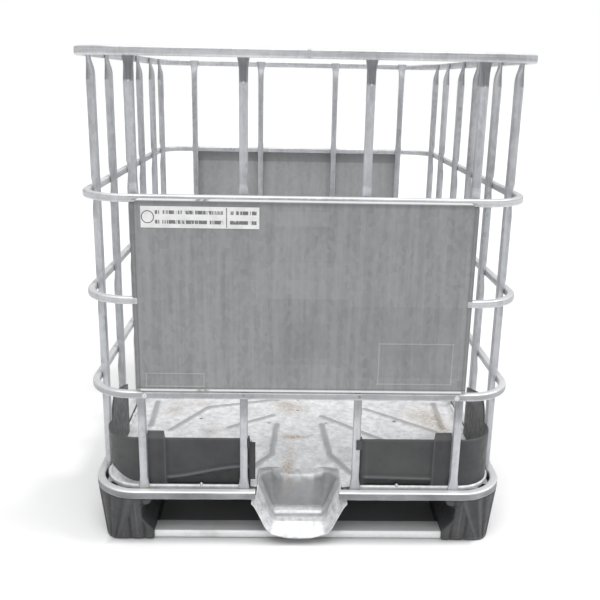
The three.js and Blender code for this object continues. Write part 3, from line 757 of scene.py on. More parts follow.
def plate_out(x, z, half, bottom, top, frames):
    """How far the sheet stands out at a point, how much painted shade and grime it carries there, and how
    much painted highlight.
    """
    out = -PLATE_BACK + 0.9 * frame_line(x, z, frames)
    out += 0.5 * noise.noise(Vector((x, z, 3.0)) * 0.006)
    fold = smoothstep(half - 11, half - 8.5, abs(x))
    out -= 1.5 * fold
    top_roll = max(0.0, 1 - ((top - PLATE_ROLL - z) / PLATE_ROLL) ** 2)
    hem_roll = max(0.0, 1 - ((z - bottom - PLATE_ROLL) / PLATE_ROLL) ** 2)
    out += 1.6 * math.sqrt(max(top_roll, hem_roll))
    notch = sum(mound(x + place, 5.0) for place in NOTCHES)
    out -= 1.2 * notch * top_roll
    # Painted shade and grime in the side folds; painted shade under the rolled edges and at the notches.
    crease = mound(abs(x) - half + 9.5, 1.6)
    under_roll = mound(top - 9.5 - z, 2.5) + mound(z - bottom - 8.0, 1.4)
    grime_and_shade = min(1.0, 0.5 * crease + 0.6 * under_roll + 0.3 * fold + 0.3 * notch * top_roll)
    # Painted highlight along the rolled edges, broken at the notches, and faintly along the raised frame
    # lines.
    bright = max(top_roll, 0.9 * hem_roll) * (1 - min(1.0, notch)) * (1 - 0.8 * fold)
    bright = max(bright, 0.15 * frame_line(x, z, frames))
    return min(out, -0.1), grime_and_shade, bright


def make_plate(node, side, frames, material):
    """A sheet with folded sides, rolled top and bottom edges and rounded top corners."""
    low, high = box_mm(node)
    half, bottom, top = (high.x - low.x) / 2, low.z, high.z
    marks_x = [-half + 10, half - 10] + [edge for frame_box in frames for edge in frame_box[:2]]
    marks_z = [bottom + 4, top - 6] + [edge for frame_box in frames for edge in frame_box[2:]]
    columns = stations(-half, half, 9, marks_x, 4.0, 0.9)
    rows = stations(bottom, top, 9, marks_z, 5.0, 0.9)
    verts, shade, painted_highlight = [], [], []
    for z in rows:
        above = max(0.0, z - (top - PLATE_CORNER))
        pull = PLATE_CORNER - math.sqrt(max(0.0, PLATE_CORNER**2 - above**2))
        for x in columns:
            out, grime_and_shade, bright = plate_out(x, z, half, bottom, top, frames)
            at_x = x * (half - pull) / half
            verts.append((-side * at_x, side * (HALF_Y + out), z))
            shade.append(grime_and_shade)
            painted_highlight.append(bright)
    faces = turned_over(grid_faces(len(rows), len(columns)))
    layers = {"shade": shade, "painted_highlight": painted_highlight}
    obj = piece(f"{node}_sheet", verts, faces, material, [node], layers=layers)
    thicken(obj, PLATE_THICKNESS)


make_plate("front_plate", -1, FRAMES_ON_PLATE, plate_zinc)
make_plate("rear_plate", 1, [], rear_zinc)


def make_label():
    """A thin film whose corners lift a little."""
    low, high = box_mm("front_label")
    verts = []
    columns, rows = 25, 7
    for j in range(rows):
        for i in range(columns):
            u, v = i / (columns - 1), j / (rows - 1)
            lift = 0.25 * abs(2 * u - 1) ** 12 * abs(2 * v - 1) ** 4
            x, z = low.x + (high.x - low.x) * u, low.z + (high.z - low.z) * v
            verts.append((x, -HALF_Y + 0.8 - lift + 0.12 * noise.noise(Vector((x, z, 0)) * 0.03), z))
    faces = turned_over(grid_faces(rows, columns))
    piece("front_label_film", verts, faces, label_print, ["front_label"])


make_label()


def turned(profile, centre, upward, sides=20):
    """A profile of (radius, along) spun round an axis through `centre`."""
    turn = Vector((0, 0, 1)).rotation_difference(Vector(upward)).to_matrix()
    verts = []
    for radius, along in profile:
        for i in range(sides):
            angle = 2 * math.pi * i / sides
            at = Vector((radius * math.cos(angle), radius * math.sin(angle), along))
            verts.append(turn @ at + Vector(centre))
    return verts, turned_over(grid_faces(len(profile), sides, False, True))


def pan_head(radius, height):
    """A domed head with a small cross-drive hollow in its middle."""
    return [
        (radius, -0.6),
        (radius, height * 0.25),
        (radius * 0.93, height * 0.6),
        (radius * 0.7, height * 0.9),
        (radius * 0.42, height),
        (radius * 0.3, height * 0.96),
        (radius * 0.22, height * 0.45),
        (0.02, height * 0.4),
    ]


# Radius and height of the heads.
SCREW_HEAD, BOLT_HEAD, PLUG_HEAD = (5.8, 1.7), (4.5, 3.8), (3.2, 1.6)
BOLT_PLACES = [f"{side}_{end}" for side in ("front", "rear") for end in ("left", "right")]
BOLT_PLACES += [f"{side}_{end}" for side in ("left", "right") for end in ("front", "rear")]
PLUG_X = 133


def make_fasteners():
    """The two plate screws and the eight bolts of the deck's rim."""
    for side in ("left", "right"):
        node = f"front_plate_screw_{side}"
        low, high = box_mm(node)
        centre = ((low.x + high.x) / 2, low.y + 1.8, (low.z + high.z) / 2)
        verts, faces = turned(pan_head(*SCREW_HEAD), centre, (0, -1, 0))
        piece(f"{node}_head", verts, faces, bolt_zinc, [node])
    for place in BOLT_PLACES:
        node = f"deck_bolt_{place}"
        low, high = box_mm(node)
        centre = ((low.x + high.x) / 2, (low.y + high.y) / 2, high.z - 3.9)
        verts, faces = turned(pan_head(*BOLT_HEAD), centre, (0, 0, 1))
        piece(f"{node}_head", verts, faces, bolt_zinc, [node])


make_fasteners()


def make_ring_plugs():
    """Small plugs in the lower ring where the two middle uprights cross it, painted fully in shade to stand
    for shaded dimples.
    """
    level = RING_LEVELS[0]
    for side in (-1, 1):
        for x in (-PLUG_X, PLUG_X):
            centre = (x, side * (HALF_Y - 2.3), level + 2)
            verts, faces = turned(pan_head(*PLUG_HEAD), centre, (0, side, 0), 14)
            name = f"ring_plug_{'front' if side < 0 else 'rear'}_{'left' if x < 0 else 'right'}"
            piece(name, verts, faces, ring_zinc, layers={"shade": [1.0] * len(verts)})


make_ring_plugs()

# ---- deck and trough

DECK_TOP = 140.0
RIM_INNER, RIM_OUTER = 465.2, 473.7
RIM_LEVEL, RIM_HEIGHT, RIM_GAP_HALF = 143.4, 13.0, 108
BEAD_HEIGHT, DECK_STEP, UNDERSIDE_STEP, HOLE_RADIUS = 4.0, 5, 30, 5.6
# Raised beads, as runs between points: the lone ones, and one of each pair that mirrors left to right.
LONE_BEADS = [
    [(-123, -483), (-69, -405), (-58, -229)],
    [(132, -500), (83, -403), (71, -227)],
    [(-353, -268), (-262, -119)],
    [(-191, -250), (-69, -170)],
    [(72, -174), (239, -327)],
    [(204, -121), (390, -270)],
    [(-262, -119), (-60, -60)],
]
PAIRED_BEADS = [
    [(412, -243), (419, -82)],
    [(300, 120), (120, 20)],
    [(380, 420), (150, 180)],
    [(90, 480), (60, 240)],
]
DECK_BEADS = LONE_BEADS + PAIRED_BEADS + [[(-x, y) for x, y in bead] for bead in PAIRED_BEADS]
DECK_HOLES = [(-277, -191), (-80, -215), (3, -130), (83, -214), (281, -200), (5, -56)]
# Rust stains: centre x, centre y, reach across, reach along, strength.
STAINS = [
    (-29, -462, 13, 34, 1.0),
    (-20, -395, 10, 50, 0.45),
    (-21, -302, 26, 14, 0.85),
    (10, -300, 24, 10, 0.7),
    (-14, -119, 45, 40, 0.5),
    (-30, -85, 40, 30, 0.4),
    (390, -190, 40, 62, 0.7),
    (345, -140, 45, 40, 0.35),
    (418, -255, 16, 30, 0.6),
    (-364, -136, 30, 40, 0.35),
    (-242, -272, 18, 22, 0.45),
    (-283, -92, 32, 26, 0.4),
]


def distance_to_run(x, y, start, end):
    """Distance in plan from a point to the straight run between two others."""
    ax, ay = x - start[0], y - start[1]
    bx, by = end[0] - start[0], end[1] - start[1]
    t = min(max((ax * bx + ay * by) / (bx * bx + by * by), 0.0), 1.0)
    return math.hypot(ax - t * bx, ay - t * by)


BEAD_RUNS = [(a, b) for bead in DECK_BEADS for a, b in zip(bead, bead[1:])]


def bead_distance(x, y):
    """Distance in plan to the middle of the nearest bead."""
    return min(distance_to_run(x, y, a, b) for a, b in BEAD_RUNS)


def stain_at(x, y):
    """How rusty the deck is at a point, from 0 to 1."""
    total = 0.0
    for cx, cy, reach_x, reach_y, strength in STAINS:
        away = ((x - cx) / reach_x) ** 2 + ((y - cy) / reach_y) ** 2
        total += strength * math.exp(-away)
    return min(total, 1.0)


TROUGH_HALF, TROUGH_BACK, TROUGH_FRONT = 103.0, -474.0, -598.0
# Where the deck bends down into the trough.
BROW_Y = -480


def deck_height(x, y, away):
    """The pressed sheet: raised beads, a turned-up border, slow waves, and a dip to the trough."""
    z = DECK_TOP + BEAD_HEIGHT * (1 - smoothstep(4.5, 12.0, away))
    edge = min(RIM_INNER - abs(x), HALF_Y - (HALF_X - RIM_INNER) - abs(y))
    z += 5.0 * (1 - smoothstep(0, 26, edge)) ** 2
    z += 0.9 * noise.noise(Vector((x, y, 0)) * 0.012)
    shoulder = mound(abs(x) - 68, 34) * smoothstep(-446, BROW_Y, y)
    return z - 6.0 * shoulder


def inside_plan(x, y, half_x, half_y, radius):
    """Whether a point lies inside a rounded rectangle in plan."""
    dx, dy = abs(x) - (half_x - radius), abs(y) - (half_y - radius)
    if dx <= 0 or dy <= 0:
        return abs(x) <= half_x and abs(y) <= half_y
    return math.hypot(dx, dy) <= radius


def field(xs, ys, height, keep):
    """A surface over a grid: its points, faces where `keep` holds, and the kept points only."""
    index, verts, faces = {}, [], []

    def corner(i, j):
        if (i, j) not in index:
            index[i, j] = len(verts)
            verts.append((xs[i], ys[j], height(xs[i], ys[j])))
        return index[i, j]

    for j in range(len(ys) - 1):
        for i in range(len(xs) - 1):
            if keep((xs[i] + xs[i + 1]) / 2, (ys[j] + ys[j + 1]) / 2):
                faces.append((corner(i, j), corner(i + 1, j), corner(i + 1, j + 1), corner(i, j + 1)))
    return verts, faces


def make_deck():
    """The beaded sheet, with painted shade and grime along its beads, painted shade by its border and at
    the brow of the trough, over a plain underside painted fully in shade.
    """
    half_x, half_y = RIM_INNER + 3, HALF_Y - HALF_X + RIM_INNER + 3

    def keep(x, y):
        in_trough = abs(x) < TROUGH_HALF - 2 and y < TROUGH_BACK - 2
        at_hole = any(math.hypot(x - hx, y - hy) < HOLE_RADIUS for hx, hy in DECK_HOLES)
        return inside_plan(x, y, half_x, half_y, 84) and not in_trough and not at_hole

    def height(x, y):
        return deck_height(x, y, bead_distance(x, y))

    def grid(step):
        return spaced(-half_x, half_x, step), spaced(-half_y, half_y, step)

    verts, faces = field(*grid(DECK_STEP), height, keep)
    shade, rust = [], []
    for x, y, _ in verts:
        away = bead_distance(x, y)
        band = 1 - smoothstep(5.5, 11, away)
        edge = min(half_x - abs(x), half_y - abs(y))
        brow = mound(y - BROW_Y, 12) * mound(abs(x) - 62, 22)
        # Painted shade and grime along the beads; painted shade by the border and at the brow.
        shade.append(min(1.0, 0.9 * band + 0.35 * (1 - smoothstep(2, 22, edge)) + 0.5 * brow))
        rust.append(stain_at(x, y))
    layers = {"shade": shade, "rust": rust}
    piece("deck_sheet_field", verts, faces, deck_zinc, ["deck_pan"], layers=layers)
    verts, faces = field(*grid(UNDERSIDE_STEP), lambda x, y: DECK_TOP - 2.5, keep)
    # The underside is painted fully in shade.
    shaded_underside = {"shade": [1.0] * len(verts)}
    piece("deck_underside", verts, turned_over(faces), deck_zinc, layers=shaded_underside)


make_deck()


COLLAR = [(10.5, -0.6), (9.0, 0.5), (7.0, 0.7), (5.4, 0.2), (4.8, -1.5), (4.6, -6.0), (0.1, -6.2)]


def make_deck_holes():
    """A drawn collar round each drain hole, with a floor below it; the inside of the hole is painted fully
    in shade and the collar's top lightly.
    """
    for number, (x, y) in enumerate(DECK_HOLES, 1):
        level = deck_height(x, y, bead_distance(x, y))
        verts, faces = turned(COLLAR, (x, y, level), (0, 0, 1), 24)
        # Painted shade: full inside the hole, light on the collar's top.
        shade = [1.0 if v.z < level - 1 else 0.15 for v in verts]
        piece(f"deck_hole_{number}", verts, faces, deck_zinc, layers={"shade": shade})


make_deck_holes()


def make_deck_rim():
    """The rolled edge of the deck, which stops either side of the trough."""
    middle = (RIM_INNER + RIM_OUTER) / 2
    loop = rounded_loop(middle, HALF_Y - HALF_X + middle, 90 - (RIM_OUTER - middle), 12, 30)
    path = cut_open(loop, lambda point: point.y < -INNER_Y + 40 and abs(point.x) < RIM_GAP_HALF)
    section = tube_section(RIM_OUTER - RIM_INNER, RIM_HEIGHT, 4.0)
    verts, faces = sweep(path, section, RIM_LEVEL, 0.5, closed=False)
    count = len(section)
    faces += [cap(0, count, True), cap(len(verts) - count, count)]
    # More painted shade on the sides and underside of the rim than on its top.
    shade = [0.15 if v[2] > RIM_LEVEL + 2.6 else 0.5 for v in verts]
    piece("deck_rim", verts, faces, deck_zinc, layers={"shade": shade})


make_deck_rim()

# The trough's floor, as (y, level) from the mouth to the foot of its back wall.
TROUGH_FLOOR = [(-568, 51), (-559, 52), (-554, 53), (-547, 51), (-536, 51.5)]
TROUGH_FLOOR += [(-531, 57), (-524, 58.5), (-514, 58)]
FLOOR_END, FLOOR_LEVEL = TROUGH_FLOOR[-1]
# From the middle outwards: the y of the back edge, and the levels of the mouth's lip and of its bend.
BACK_EDGE = [(0, -507), (38, -506), (54, -494), (68, -480), (82, -481), (92, -492), (98, -520), (104, -560)]
MOUTH_EDGE = [(0, 22), (30, 23), (66, 33), (80, 49), (92, 77), (105, 104), (114, 116)]
MOUTH_BEND = [(0, 51), (58, 51.5), (68, 60), (79, 81), (90, 100), (98, 118), (104, 136)]
MOUTH_START, MOUTH_HALF = -568.0, 104
FLANK_START, FLANK_WIDTH = 58, 42
WALL_END = -512


def trough_height(x, y):
    """The pressed scoop: a steep back wall, a ledge, a shallow channel and a flared mouth."""
    a = abs(x)
    rim = DECK_TOP + 1.7 - 1.2 * smoothstep(-500, BROW_Y, y)
    if y < MOUTH_START:
        t = (MOUTH_START - y) / (MOUTH_START - TROUGH_FRONT)
        inner, outer = eased(MOUTH_BEND, a, 3), eased(MOUTH_EDGE, a, 3)
        return inner + (outer - inner) * t**1.2
    edge = eased(BACK_EDGE, a, 4)
    fall = smoothstep(0, 1, (edge - y) / max(6.0, edge - WALL_END)) if y < edge else 0.0
    floor = rim - (rim - FLOOR_LEVEL) * fall if y > FLOOR_END else eased(TROUGH_FLOOR, y, 1.5)
    side = min(max((a - FLANK_START) / FLANK_WIDTH, 0.0), 1.0)
    rise = 0.3 * side + 0.7 * side * side * (3 - 2 * side)
    height = floor + (rim - floor) * rise
    join = smoothstep(-556, MOUTH_START, y)
    return height + (eased(MOUTH_BEND, a, 3) - height) * join * (a < MOUTH_HALF)


LIP_HALF, FINE_FROM, TROUGH_THICKNESS = 114, -518, 1.6


def make_trough():
    """The scoop, with painted shade on its walls and flanks, in the fold at the foot of the back wall, in
    the channel and at the brow.
    """
    xs = spaced(-LIP_HALF, LIP_HALF, 2)
    ys = spaced(TROUGH_FRONT, FINE_FROM, 2)[:-1] + spaced(FINE_FROM, TROUGH_BACK + 2, 1)

    def keep(x, y):
        return abs(x) < TROUGH_HALF or y < -INNER_Y + 4

    verts, faces = field(xs, ys, trough_height, keep)
    shade, rust = [], []
    for x, y, z in verts:
        a = abs(x)
        inside = smoothstep(MOUTH_START - 4, MOUTH_START + 6, y)
        wall = smoothstep(139, 128, z) * smoothstep(-520, WALL_END, y)
        flank = smoothstep(60, 68, a) * (1 - smoothstep(98, 101, a)) * inside
        fold = mound(y + 513, 2.5) * (1 - smoothstep(60, 76, a))
        dip = mound(y + 541, 8.0) * (1 - smoothstep(56, 70, a))
        brow = mound(y - BROW_Y, 12) * mound(a - 68, 26)
        # Painted shade on the walls, flanks, fold, channel and brow.
        shade.append(min(1.0, 0.95 * wall + 0.45 * flank + 0.5 * fold + 0.7 * dip + 0.4 * brow))
        rust.append(0.8 * stain_at(x, y + 12) if z > 100 else 0.0)
    layers = {"shade": shade, "rust": rust}
    nodes = ["discharge_trough"]
    obj = piece("trough_pressing", verts, faces, trough_zinc, nodes, layers=layers)
    thicken(obj, TROUGH_THICKNESS)


make_trough()


SKID_WIDTH, SKID_HEIGHT, SKID_CORNER, SKID_MIDDLE = 49.6, 19.8, 5.0, 9.95
SKID_IN, SKID_TURN = 25, 50


def make_skid():
    """The frame that the pallet stands on, its outer face and top a little bruised, with painted shade on
    its top.
    """
    _, high = box_mm("skid_frame")
    loop = rounded_loop(high.x - SKID_IN, high.y - SKID_IN, SKID_TURN, 10, 22)
    section = tube_section(SKID_WIDTH, SKID_HEIGHT, SKID_CORNER)
    verts, shade = [], []
    for point, normal in loop:
        bruise = 1.6 * max(0.0, noise.noise(Vector((point.x, point.y, 4)) * WAVE_SCALE))
        for out, up in section:
            out_at = out - (bruise if out > 10 else 0)
            top_at = up - (bruise * 0.8 if up > 4 else 0)
            verts.append(stood_off(point, normal, out_at, SKID_MIDDLE + top_at))
            # Painted shade on the top, where it runs under the deck.
            shade.append(1.0 if up > 7 and out < 20 else 0.0)
    faces = grid_faces(len(loop), len(section), True, True)
    piece("skid_tube", verts, faces, skid_zinc, ["skid_frame"], layers={"shade": shade})


make_skid()

# ---- feet

FOOT_BOTTOM, FOOT_TOP = 2, 125.6
FOOT_LEVELS = [FOOT_BOTTOM, 3.5, 6, 12, 20, 28, 32, 36, 42, 50, 58, 66]
FOOT_LEVELS += [72, 80, 90, 98, 104, 109, 113, 118, 122, 124.5, FOOT_TOP]
FOOT_PLACES = ["front_left", "front_right", "rear_left", "rear_right"]
FOOT_PLACES += ["left_middle", "right_middle", "rear_middle"]
# The narrower block on top of a foot, which meets the deck.
SEAT_INSET, SEAT_TOP = 28, 137.5
RIB_PITCH = 34.0
INNER_CORNER = 6.0
OUTER_STEPS, INNER_STEPS, WALL_STEPS = 22, 4, 26


def waist(z):
    """How far an inner wall is drawn in at each level."""
    return eased([(FOOT_BOTTOM, 0), (32, 0), (66, 25), (104, 25), (114, 0)], z, 3.0)


def batter(z):
    """How far an outer wall leans in, most at the floor."""
    return eased([(FOOT_BOTTOM, 26), (118, 0)], z, 1.0) + 3 * (1 - smoothstep(FOOT_BOTTOM, 7, z))


def corner_radius(z):
    """The outer corner, which is cut by the battered walls and so gets sharper towards the floor."""
    return 108 - 2.8 * batter(z)


def ribs(t):
    """Shallow upright grooves and a fine proud seam, by distance along an outer wall."""
    phase = (t / RIB_PITCH + 0.5) % 1.0 - 0.5
    groove = 1 - smoothstep(2.2, 4.6, abs(phase * RIB_PITCH))
    seam_phase = (t / RIB_PITCH) % 1.0 - 0.5
    seam = 1 - smoothstep(0.4, 1.6, abs(seam_phase * RIB_PITCH))
    return -2.6 * groove + 0.7 * seam, groove, seam


def foot_loop(low_x, high_x, low_y, high_y, outward, z, seat=0.0):
    """A foot's outline at one level, anticlockwise, drawn in by `seat`, with its grooves and seams."""
    inset = {side: (batter(z) + seat if out else waist(z)) for side, out in outward.items()}
    x0, x1 = low_x + inset["left"], high_x - inset["right"]
    y0, y1 = low_y + inset["front"], high_y - inset["rear"]
    loop = []
    walls = ("right", "rear", "left", "front")
    corners = [(x1, y1, 1, 1), (x0, y1, -1, 1), (x0, y0, -1, -1), (x1, y0, 1, -1)]
    for index, (cx, cy, sx, sy) in enumerate(corners):
        this_wall, next_wall = walls[index], walls[(index + 1) % 4]
        both = outward[this_wall] and outward[next_wall]
        radius = corner_radius(z) - seat if both else INNER_CORNER
        steps = OUTER_STEPS if both else INNER_STEPS
        for i in range(steps + 1):
            normal = heading(90 * index + 90 * i / steps)
            centre = Vector((cx - sx * radius, cy - sy * radius))
            depth, groove, seam = ribs(math.radians(90 * i / steps) * 100 + 9) if both else (0, 0, 0)
            loop.append((centre + normal * (radius + depth), groove, seam))
        nx, ny = corners[(index + 1) % 4][:2]
        next_sx, next_sy = corners[(index + 1) % 4][2:]
        after_wall = walls[(index + 2) % 4]
        next_both = outward[next_wall] and outward[after_wall]
        next_radius = corner_radius(z) - seat if next_both else INNER_CORNER
        begin = loop[-1][0] if not both else centre + normal * radius
        if next_wall in ("rear", "front"):
            end = Vector((nx - next_sx * next_radius, ny))
        else:
            end = Vector((nx, ny - next_sy * next_radius))
        for i in range(1, WALL_STEPS):
            at = begin.lerp(end, i / WALL_STEPS)
            depth, groove, seam = 0.0, 0.0, 0.0
            if outward[next_wall]:
                depth, groove, seam = ribs(at.x if next_wall in ("rear", "front") else at.y)
            loop.append((at + normal * depth, groove, seam))
    return loop


def make_foot(node):
    """A moulded foot, battered and ribbed on the sides that face out of the pallet."""
    low, high = box_mm(node)
    outward = {
        "left": low.x < -HALF_X + 10,
        "right": high.x > HALF_X - 10,
        "front": low.y < -HALF_Y + 10,
        "rear": high.y > HALF_Y - 10,
    }
    verts, shade, painted_highlight = [], [], []
    for z in FOOT_LEVELS:
        for at, groove, seam in foot_loop(low.x, high.x, low.y, high.y, outward, z):
            verts.append((at.x, at.y, z))
            # Painted shade in the grooves; painted highlight on the seams, and lighter towards the floor.
            shade.append(0.75 * groove)
            painted_highlight.append(min(1.0, 0.5 * seam + 0.5 * (1 - smoothstep(FOOT_BOTTOM, 14, z))))
    count = len(verts) // len(FOOT_LEVELS)
    seat = foot_loop(low.x, high.x, low.y, high.y, outward, FOOT_TOP, SEAT_INSET)
    verts += [(at.x, at.y, z) for z in (FOOT_TOP, SEAT_TOP) for at, _, _ in seat]
    shade += [0.0] * 2 * count
    painted_highlight += [0.0] * 2 * count
    faces = turned_over(grid_faces(len(FOOT_LEVELS) + 2, count, False, True))
    faces += [cap(0, count, True), cap(len(verts) - count, count)]
    layers = {"shade": shade, "painted_highlight": painted_highlight}
    obj = piece(f"{node}_moulding", verts, faces, foot_black, [node], layers=layers)
    bend_limit(obj, 55)


for place in FOOT_PLACES:
    make_foot(f"foot_{place}")

# ---- corner guards

GUARD_FACE_X, GUARD_FACE_Y = INNER_X - 15.5, INNER_Y - 15.5
GUARD_RADIUS = 74.5
GUARD_BOTTOM, GUARD_TOP, GUARD_TAB_TOP = 140.4, 270.0, 287.8
GUARD_WALL = 3.8
# Where the arms end, by distance from the middle of the pallet; one front arm is shorter.
FRONT_END, SHORT_END, SIDE_END = 106.0, 141.0, 282.0
TAB = (321.0, 361.0)
POST_LEFT, POST_RIGHT = 118.0, 333.0
BROKEN_FOOT = 164.0
ARC_STEPS, ARM_STEPS = 15, 24
CLIP_BOTTOM, CLIP_TOP, CLIP_WALL = 252.4, 275.6, 3.6
CLIP_REACH_X, CLIP_REACH_Y = 483.8, 583.8


def guard_path(end):
    """Stations along the wall from the end of the front arm, as (distance from X = 0, point, normal)."""
    centre_x, centre_y = GUARD_FACE_X - GUARD_RADIUS, GUARD_FACE_Y - GUARD_RADIUS
    marks = [POST_LEFT, POST_RIGHT, *TAB]
    path = []
    for along in stations(end, centre_x, 9.0, marks, 4.0, 1.0):
        path.append((along, Vector((along, GUARD_FACE_Y)), Vector((0, 1))))
    arc = math.radians(90) * GUARD_RADIUS
    for i in range(1, ARC_STEPS + 1):
        normal = heading(90 - 90 * i / ARC_STEPS)
        place = Vector((centre_x, centre_y)) + GUARD_RADIUS * normal
        path.append((centre_x + arc * i / ARC_STEPS, place, normal))
    run = centre_y - SIDE_END
    for i in range(1, ARM_STEPS + 1):
        place = Vector((GUARD_FACE_X, centre_y - run * i / ARM_STEPS))
        path.append((centre_x + arc + run * i / ARM_STEPS, place, Vector((1, 0))))
    return path


def guard_top(along, jagged):
    """The wall's upper edge: a tab by the corner, a slight sag between posts, a broken end."""
    sag = math.sin(math.pi * min(max((along - POST_LEFT) / (TAB[0] - POST_LEFT), 0), 1))
    top = GUARD_TOP - 2.5 * sag
    raised = smoothstep(319.5, 321.5, along) * (1 - smoothstep(360, 362, along))
    top = max(top, GUARD_TOP + (GUARD_TAB_TOP - GUARD_TOP) * raised)
    if jagged and along < POST_LEFT + 1:
        top = GUARD_TOP - 2 - 9 * abs(math.sin(along * 0.9))
    return top


def shoulder_top(back):
    """The top of the side arm, by distance from the middle of the pallet."""
    return eased([(282, 284), (300, 290), (392, 317.5), (440, 317.5), (456, 298), (459, 270)], back, 1.5)


def guard_foot(along, jagged):
    """The wall's lower edge, which rises round the corner and under the broken end."""
    if jagged and along < POST_LEFT:
        return BROKEN_FOOT
    lift = 16 + 28 * smoothstep(385, 470, along) if jagged else 9.0
    return GUARD_BOTTOM + lift * smoothstep(364, 372, along) * (1 - smoothstep(520, 560, along))


def guard_out(along, z, ridge, end):
    """How far the wall stands out of its face, never past it, with its painted shade and painted highlight.
    """
    in_panel = smoothstep(end + 13, end + 18, along) * (1 - smoothstep(314, 320, along))
    past_post = smoothstep(POST_RIGHT, 340, along)
    recess = 2.4 * in_panel * smoothstep(ridge + 3, ridge + 9, z) * (1 - smoothstep(262, 267, z))
    under = smoothstep(ridge - 2, ridge - 11, z) * in_panel
    line = mound(z - ridge, 2.4) * in_panel
    second = mound(z - ridge + 9, 1.8) * in_panel
    edges = mound(along - TAB[0], 1.5) + mound(along - TAB[1], 1.5)
    edges += mound(along - end - 17, 1.8) * 0.5
    out = -recess - 6.0 * under - 0.8 * past_post
    # Painted shade under the ridge, at the panel's end and outside the panel; painted highlight along the
    # ridge lines, the tab and panel edges and the top edge.
    shade = 0.85 * under + 0.4 * mound(along - 317, 3) + 0.25 * (1 - in_panel) * (1 - past_post)
    painted_highlight = 0.6 * line + 0.3 * second + 0.25 * edges + 0.35 * smoothstep(266, 270, z)
    return min(out, 0.0), min(1.0, shade), min(1.0, painted_highlight)


def guard_rows(foot, ridge, top):
    """Levels up the wall, close together about the ridge."""
    lower = [foot + (ridge - 13 - foot) * i / 5 for i in range(5)]
    about = [ridge - 13 + 26 * i / 17 for i in range(17)]
    upper = [ridge + 13 + (top - ridge - 13) * i / 14 for i in range(1, 15)]
    return lower + about + upper


def clip_strip(points, bottom, top, thickness):
    """An upright strip that follows points in plan; its thickness lies to the left of the way."""
    verts = []
    for index, point in enumerate(points):
        before = Vector(points[max(index - 1, 0)])
        after = Vector(points[min(index + 1, len(points) - 1)])
        way = (after - before).normalized()
        inner = Vector(point) + Vector((-way.y, way.x)) * thickness
        verts += [(*point, bottom), (*point, top), (inner.x, inner.y, top), (inner.x, inner.y, bottom)]
    faces = turned_over(grid_faces(len(points), 4, False, True))
    faces += [cap(0, 4, True), cap(len(verts) - 4, 4)]
    return verts, faces if thickness > 0 else turned_over(faces)


def make_guard(place, x_side, y_side, slant, end, jagged):
    """A guard's wall, and a clip near the end of each arm that reaches round an upright."""
    body, node = f"guard_{place}_body", f"guard_{place}"
    path = guard_path(end)
    verts, shade, painted_highlight = [], [], []
    for along, point, normal in path:
        top, foot = guard_top(along, jagged), guard_foot(along, jagged)
        if normal.x == 1:
            top = max(top, shoulder_top(point.y))
        ridge = max(168 + slant * smoothstep(POST_RIGHT, 130, along), foot + 14)
        levels = guard_rows(foot, ridge, top)
        for z in levels:
            out, dark, highlight = guard_out(along, z, ridge, end)
            at = point + normal * out
            verts.append((x_side * at.x, y_side * at.y, z))
            shade.append(dark)
            painted_highlight.append(highlight)
    faces = grid_faces(len(path), len(levels))
    if x_side * y_side < 0:
        faces = turned_over(faces)
    layers = {"shade": shade, "painted_highlight": painted_highlight}
    obj = piece(f"{node}_wall", verts, faces, guard_black, [node], body, layers)
    thicken(obj, GUARD_WALL)
    bend_limit(obj, 50)
    near_x, near_y = GUARD_FACE_X - 1, GUARD_FACE_Y - 1
    arm = [(123.2, near_y), (123.2, CLIP_REACH_Y), (135, CLIP_REACH_Y)]
    front_clip = (arm[:2] if jagged else arm, CLIP_WALL)
    if end > FRONT_END:
        front_clip = ([(142.8, near_y), (142.8, CLIP_REACH_Y), (132, CLIP_REACH_Y)], -CLIP_WALL)
    side_clip = ([(near_x, 290.2), (CLIP_REACH_X, 290.2), (CLIP_REACH_X, 302)], -CLIP_WALL)
    for hook, (points, thickness) in {"front_clip": front_clip, "side_clip": side_clip}.items():
        local, faces = clip_strip(points, CLIP_BOTTOM, CLIP_TOP, thickness)
        verts = [(x_side * x, y_side * y, z) for x, y, z in local]
        if x_side * y_side < 0:
            faces = turned_over(faces)
        clip = piece(f"{node}_{hook}", verts, faces, guard_black, (), body)
        bend_limit(clip, 30)


for place, x_side, y_side, slant, end, jagged in (
    ("front_left", -1, -1, 30, FRONT_END, True),
    ("front_right", 1, -1, 4, SHORT_END, False),
    ("rear_left", -1, 1, 4, FRONT_END, False),
    ("rear_right", 1, 1, 4, FRONT_END, False),
):
    make_guard(place, x_side, y_side, slant, end, jagged)

# ---- floor, light and camera


def make_floor():
    """A wide pale sheet in metres, with a painted shadow where the pallet stands on it."""
    across = [-40.0, -0.47, -0.42, 0.0, 0.42, 0.47, 40.0]
    along = [-40.0, -0.592, -0.54, 0.0, 0.54, 0.592, 40.0]
    verts = [(x, y, 0.0) for y in along for x in across]
    mesh = bpy.data.meshes.new("floor")
    mesh.from_pydata(verts, [], grid_faces(len(along), len(across)))
    stain_and_shadow = mesh.attributes.new("shade", "FLOAT", "POINT")
    for index, (x, y, _) in enumerate(verts):
        beneath = abs(x) < 0.45 and abs(y) < 0.56
        stain_and_shadow.data[index].value = 1.0 if beneath else 0.0
    n = Nodes("floor_white")
    pale = n.mix(n.noise(2, 2, 0.5), (0.93, 0.93, 0.93), (0.96, 0.96, 0.96))
    # Painted shadow beneath the pallet.
    n.colour(n.mix(n.painted("shade"), pale, (0.17, 0.17, 0.17)))
    n.shader.inputs["Roughness"].default_value = 0.8
    mesh.materials.append(n.material)
    floor = bpy.data.objects.new("floor", mesh)
    bpy.context.scene.collection.objects.link(floor)


make_floor()


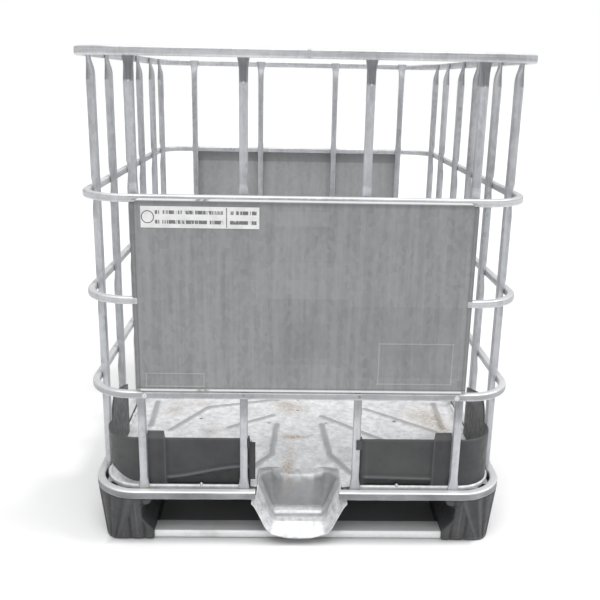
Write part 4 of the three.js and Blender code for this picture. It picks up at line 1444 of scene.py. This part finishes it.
def soft_sun(name, heading, height, spread, strength):
    """Soft light from a heading and a height above the horizon, both in degrees."""
    data = bpy.data.lights.new(name, "SUN")
    data.angle = math.radians(spread)
    data.energy = strength
    light = bpy.data.objects.new(name, data)
    a, h = math.radians(heading), math.radians(height)
    towards = Vector((math.sin(a) * math.cos(h), math.cos(a) * math.cos(h), math.sin(h)))
    light.rotation_euler = towards.to_track_quat("Z", "Y").to_euler()
    bpy.context.scene.collection.objects.link(light)


soft_sun("overhead", 185, 70, 50, 2.3)
soft_sun("key", 95, 48, 16, 0.9)

world = bpy.data.worlds.new("studio")
world.use_nodes = True
background = world.node_tree.nodes["Background"]
background.inputs["Color"].default_value = (1, 1, 1, 1)
seen = world.node_tree.nodes.new("ShaderNodeLightPath")
level = world.node_tree.nodes.new("ShaderNodeMapRange")
level.inputs["To Min"].default_value = 0.34
level.inputs["To Max"].default_value = 1.0
world.node_tree.links.new(seen.outputs["Is Camera Ray"], level.inputs["Value"])
world.node_tree.links.new(level.outputs["Result"], background.inputs["Strength"])
bpy.context.scene.world = world
bpy.context.scene.view_settings.view_transform = "Standard"

CAMERA_PLACE = (-0.0464, -2.1744, 1.0926)
CAMERA_YAW = 0.024
CAMERA_PITCH = 0.257
CAMERA_ROLL = 0.019
CAMERA_LENS = 44.65
CAMERA_SHIFT_Y = -0.0404


def make_camera():
    """The photograph's view, as fitted to the rings of the cage."""
    data = bpy.data.cameras.new("camera")
    data.lens = CAMERA_LENS
    data.shift_y = CAMERA_SHIFT_Y
    camera = bpy.data.objects.new("camera", data)
    level_way = Vector((math.sin(CAMERA_YAW), math.cos(CAMERA_YAW), 0))
    forward = level_way * math.cos(CAMERA_PITCH) - Vector((0, 0, math.sin(CAMERA_PITCH)))
    sideways = level_way.cross(Vector((0, 0, 1)))
    upward = sideways.cross(forward)
    right = sideways * math.cos(CAMERA_ROLL) + upward * math.sin(CAMERA_ROLL)
    up = upward * math.cos(CAMERA_ROLL) - sideways * math.sin(CAMERA_ROLL)
    rotation = Matrix((right, up, -forward)).transposed().to_4x4()
    camera.matrix_world = Matrix.Translation(CAMERA_PLACE) @ rotation
    bpy.context.scene.collection.objects.link(camera)
    bpy.context.scene.camera = camera


make_camera()
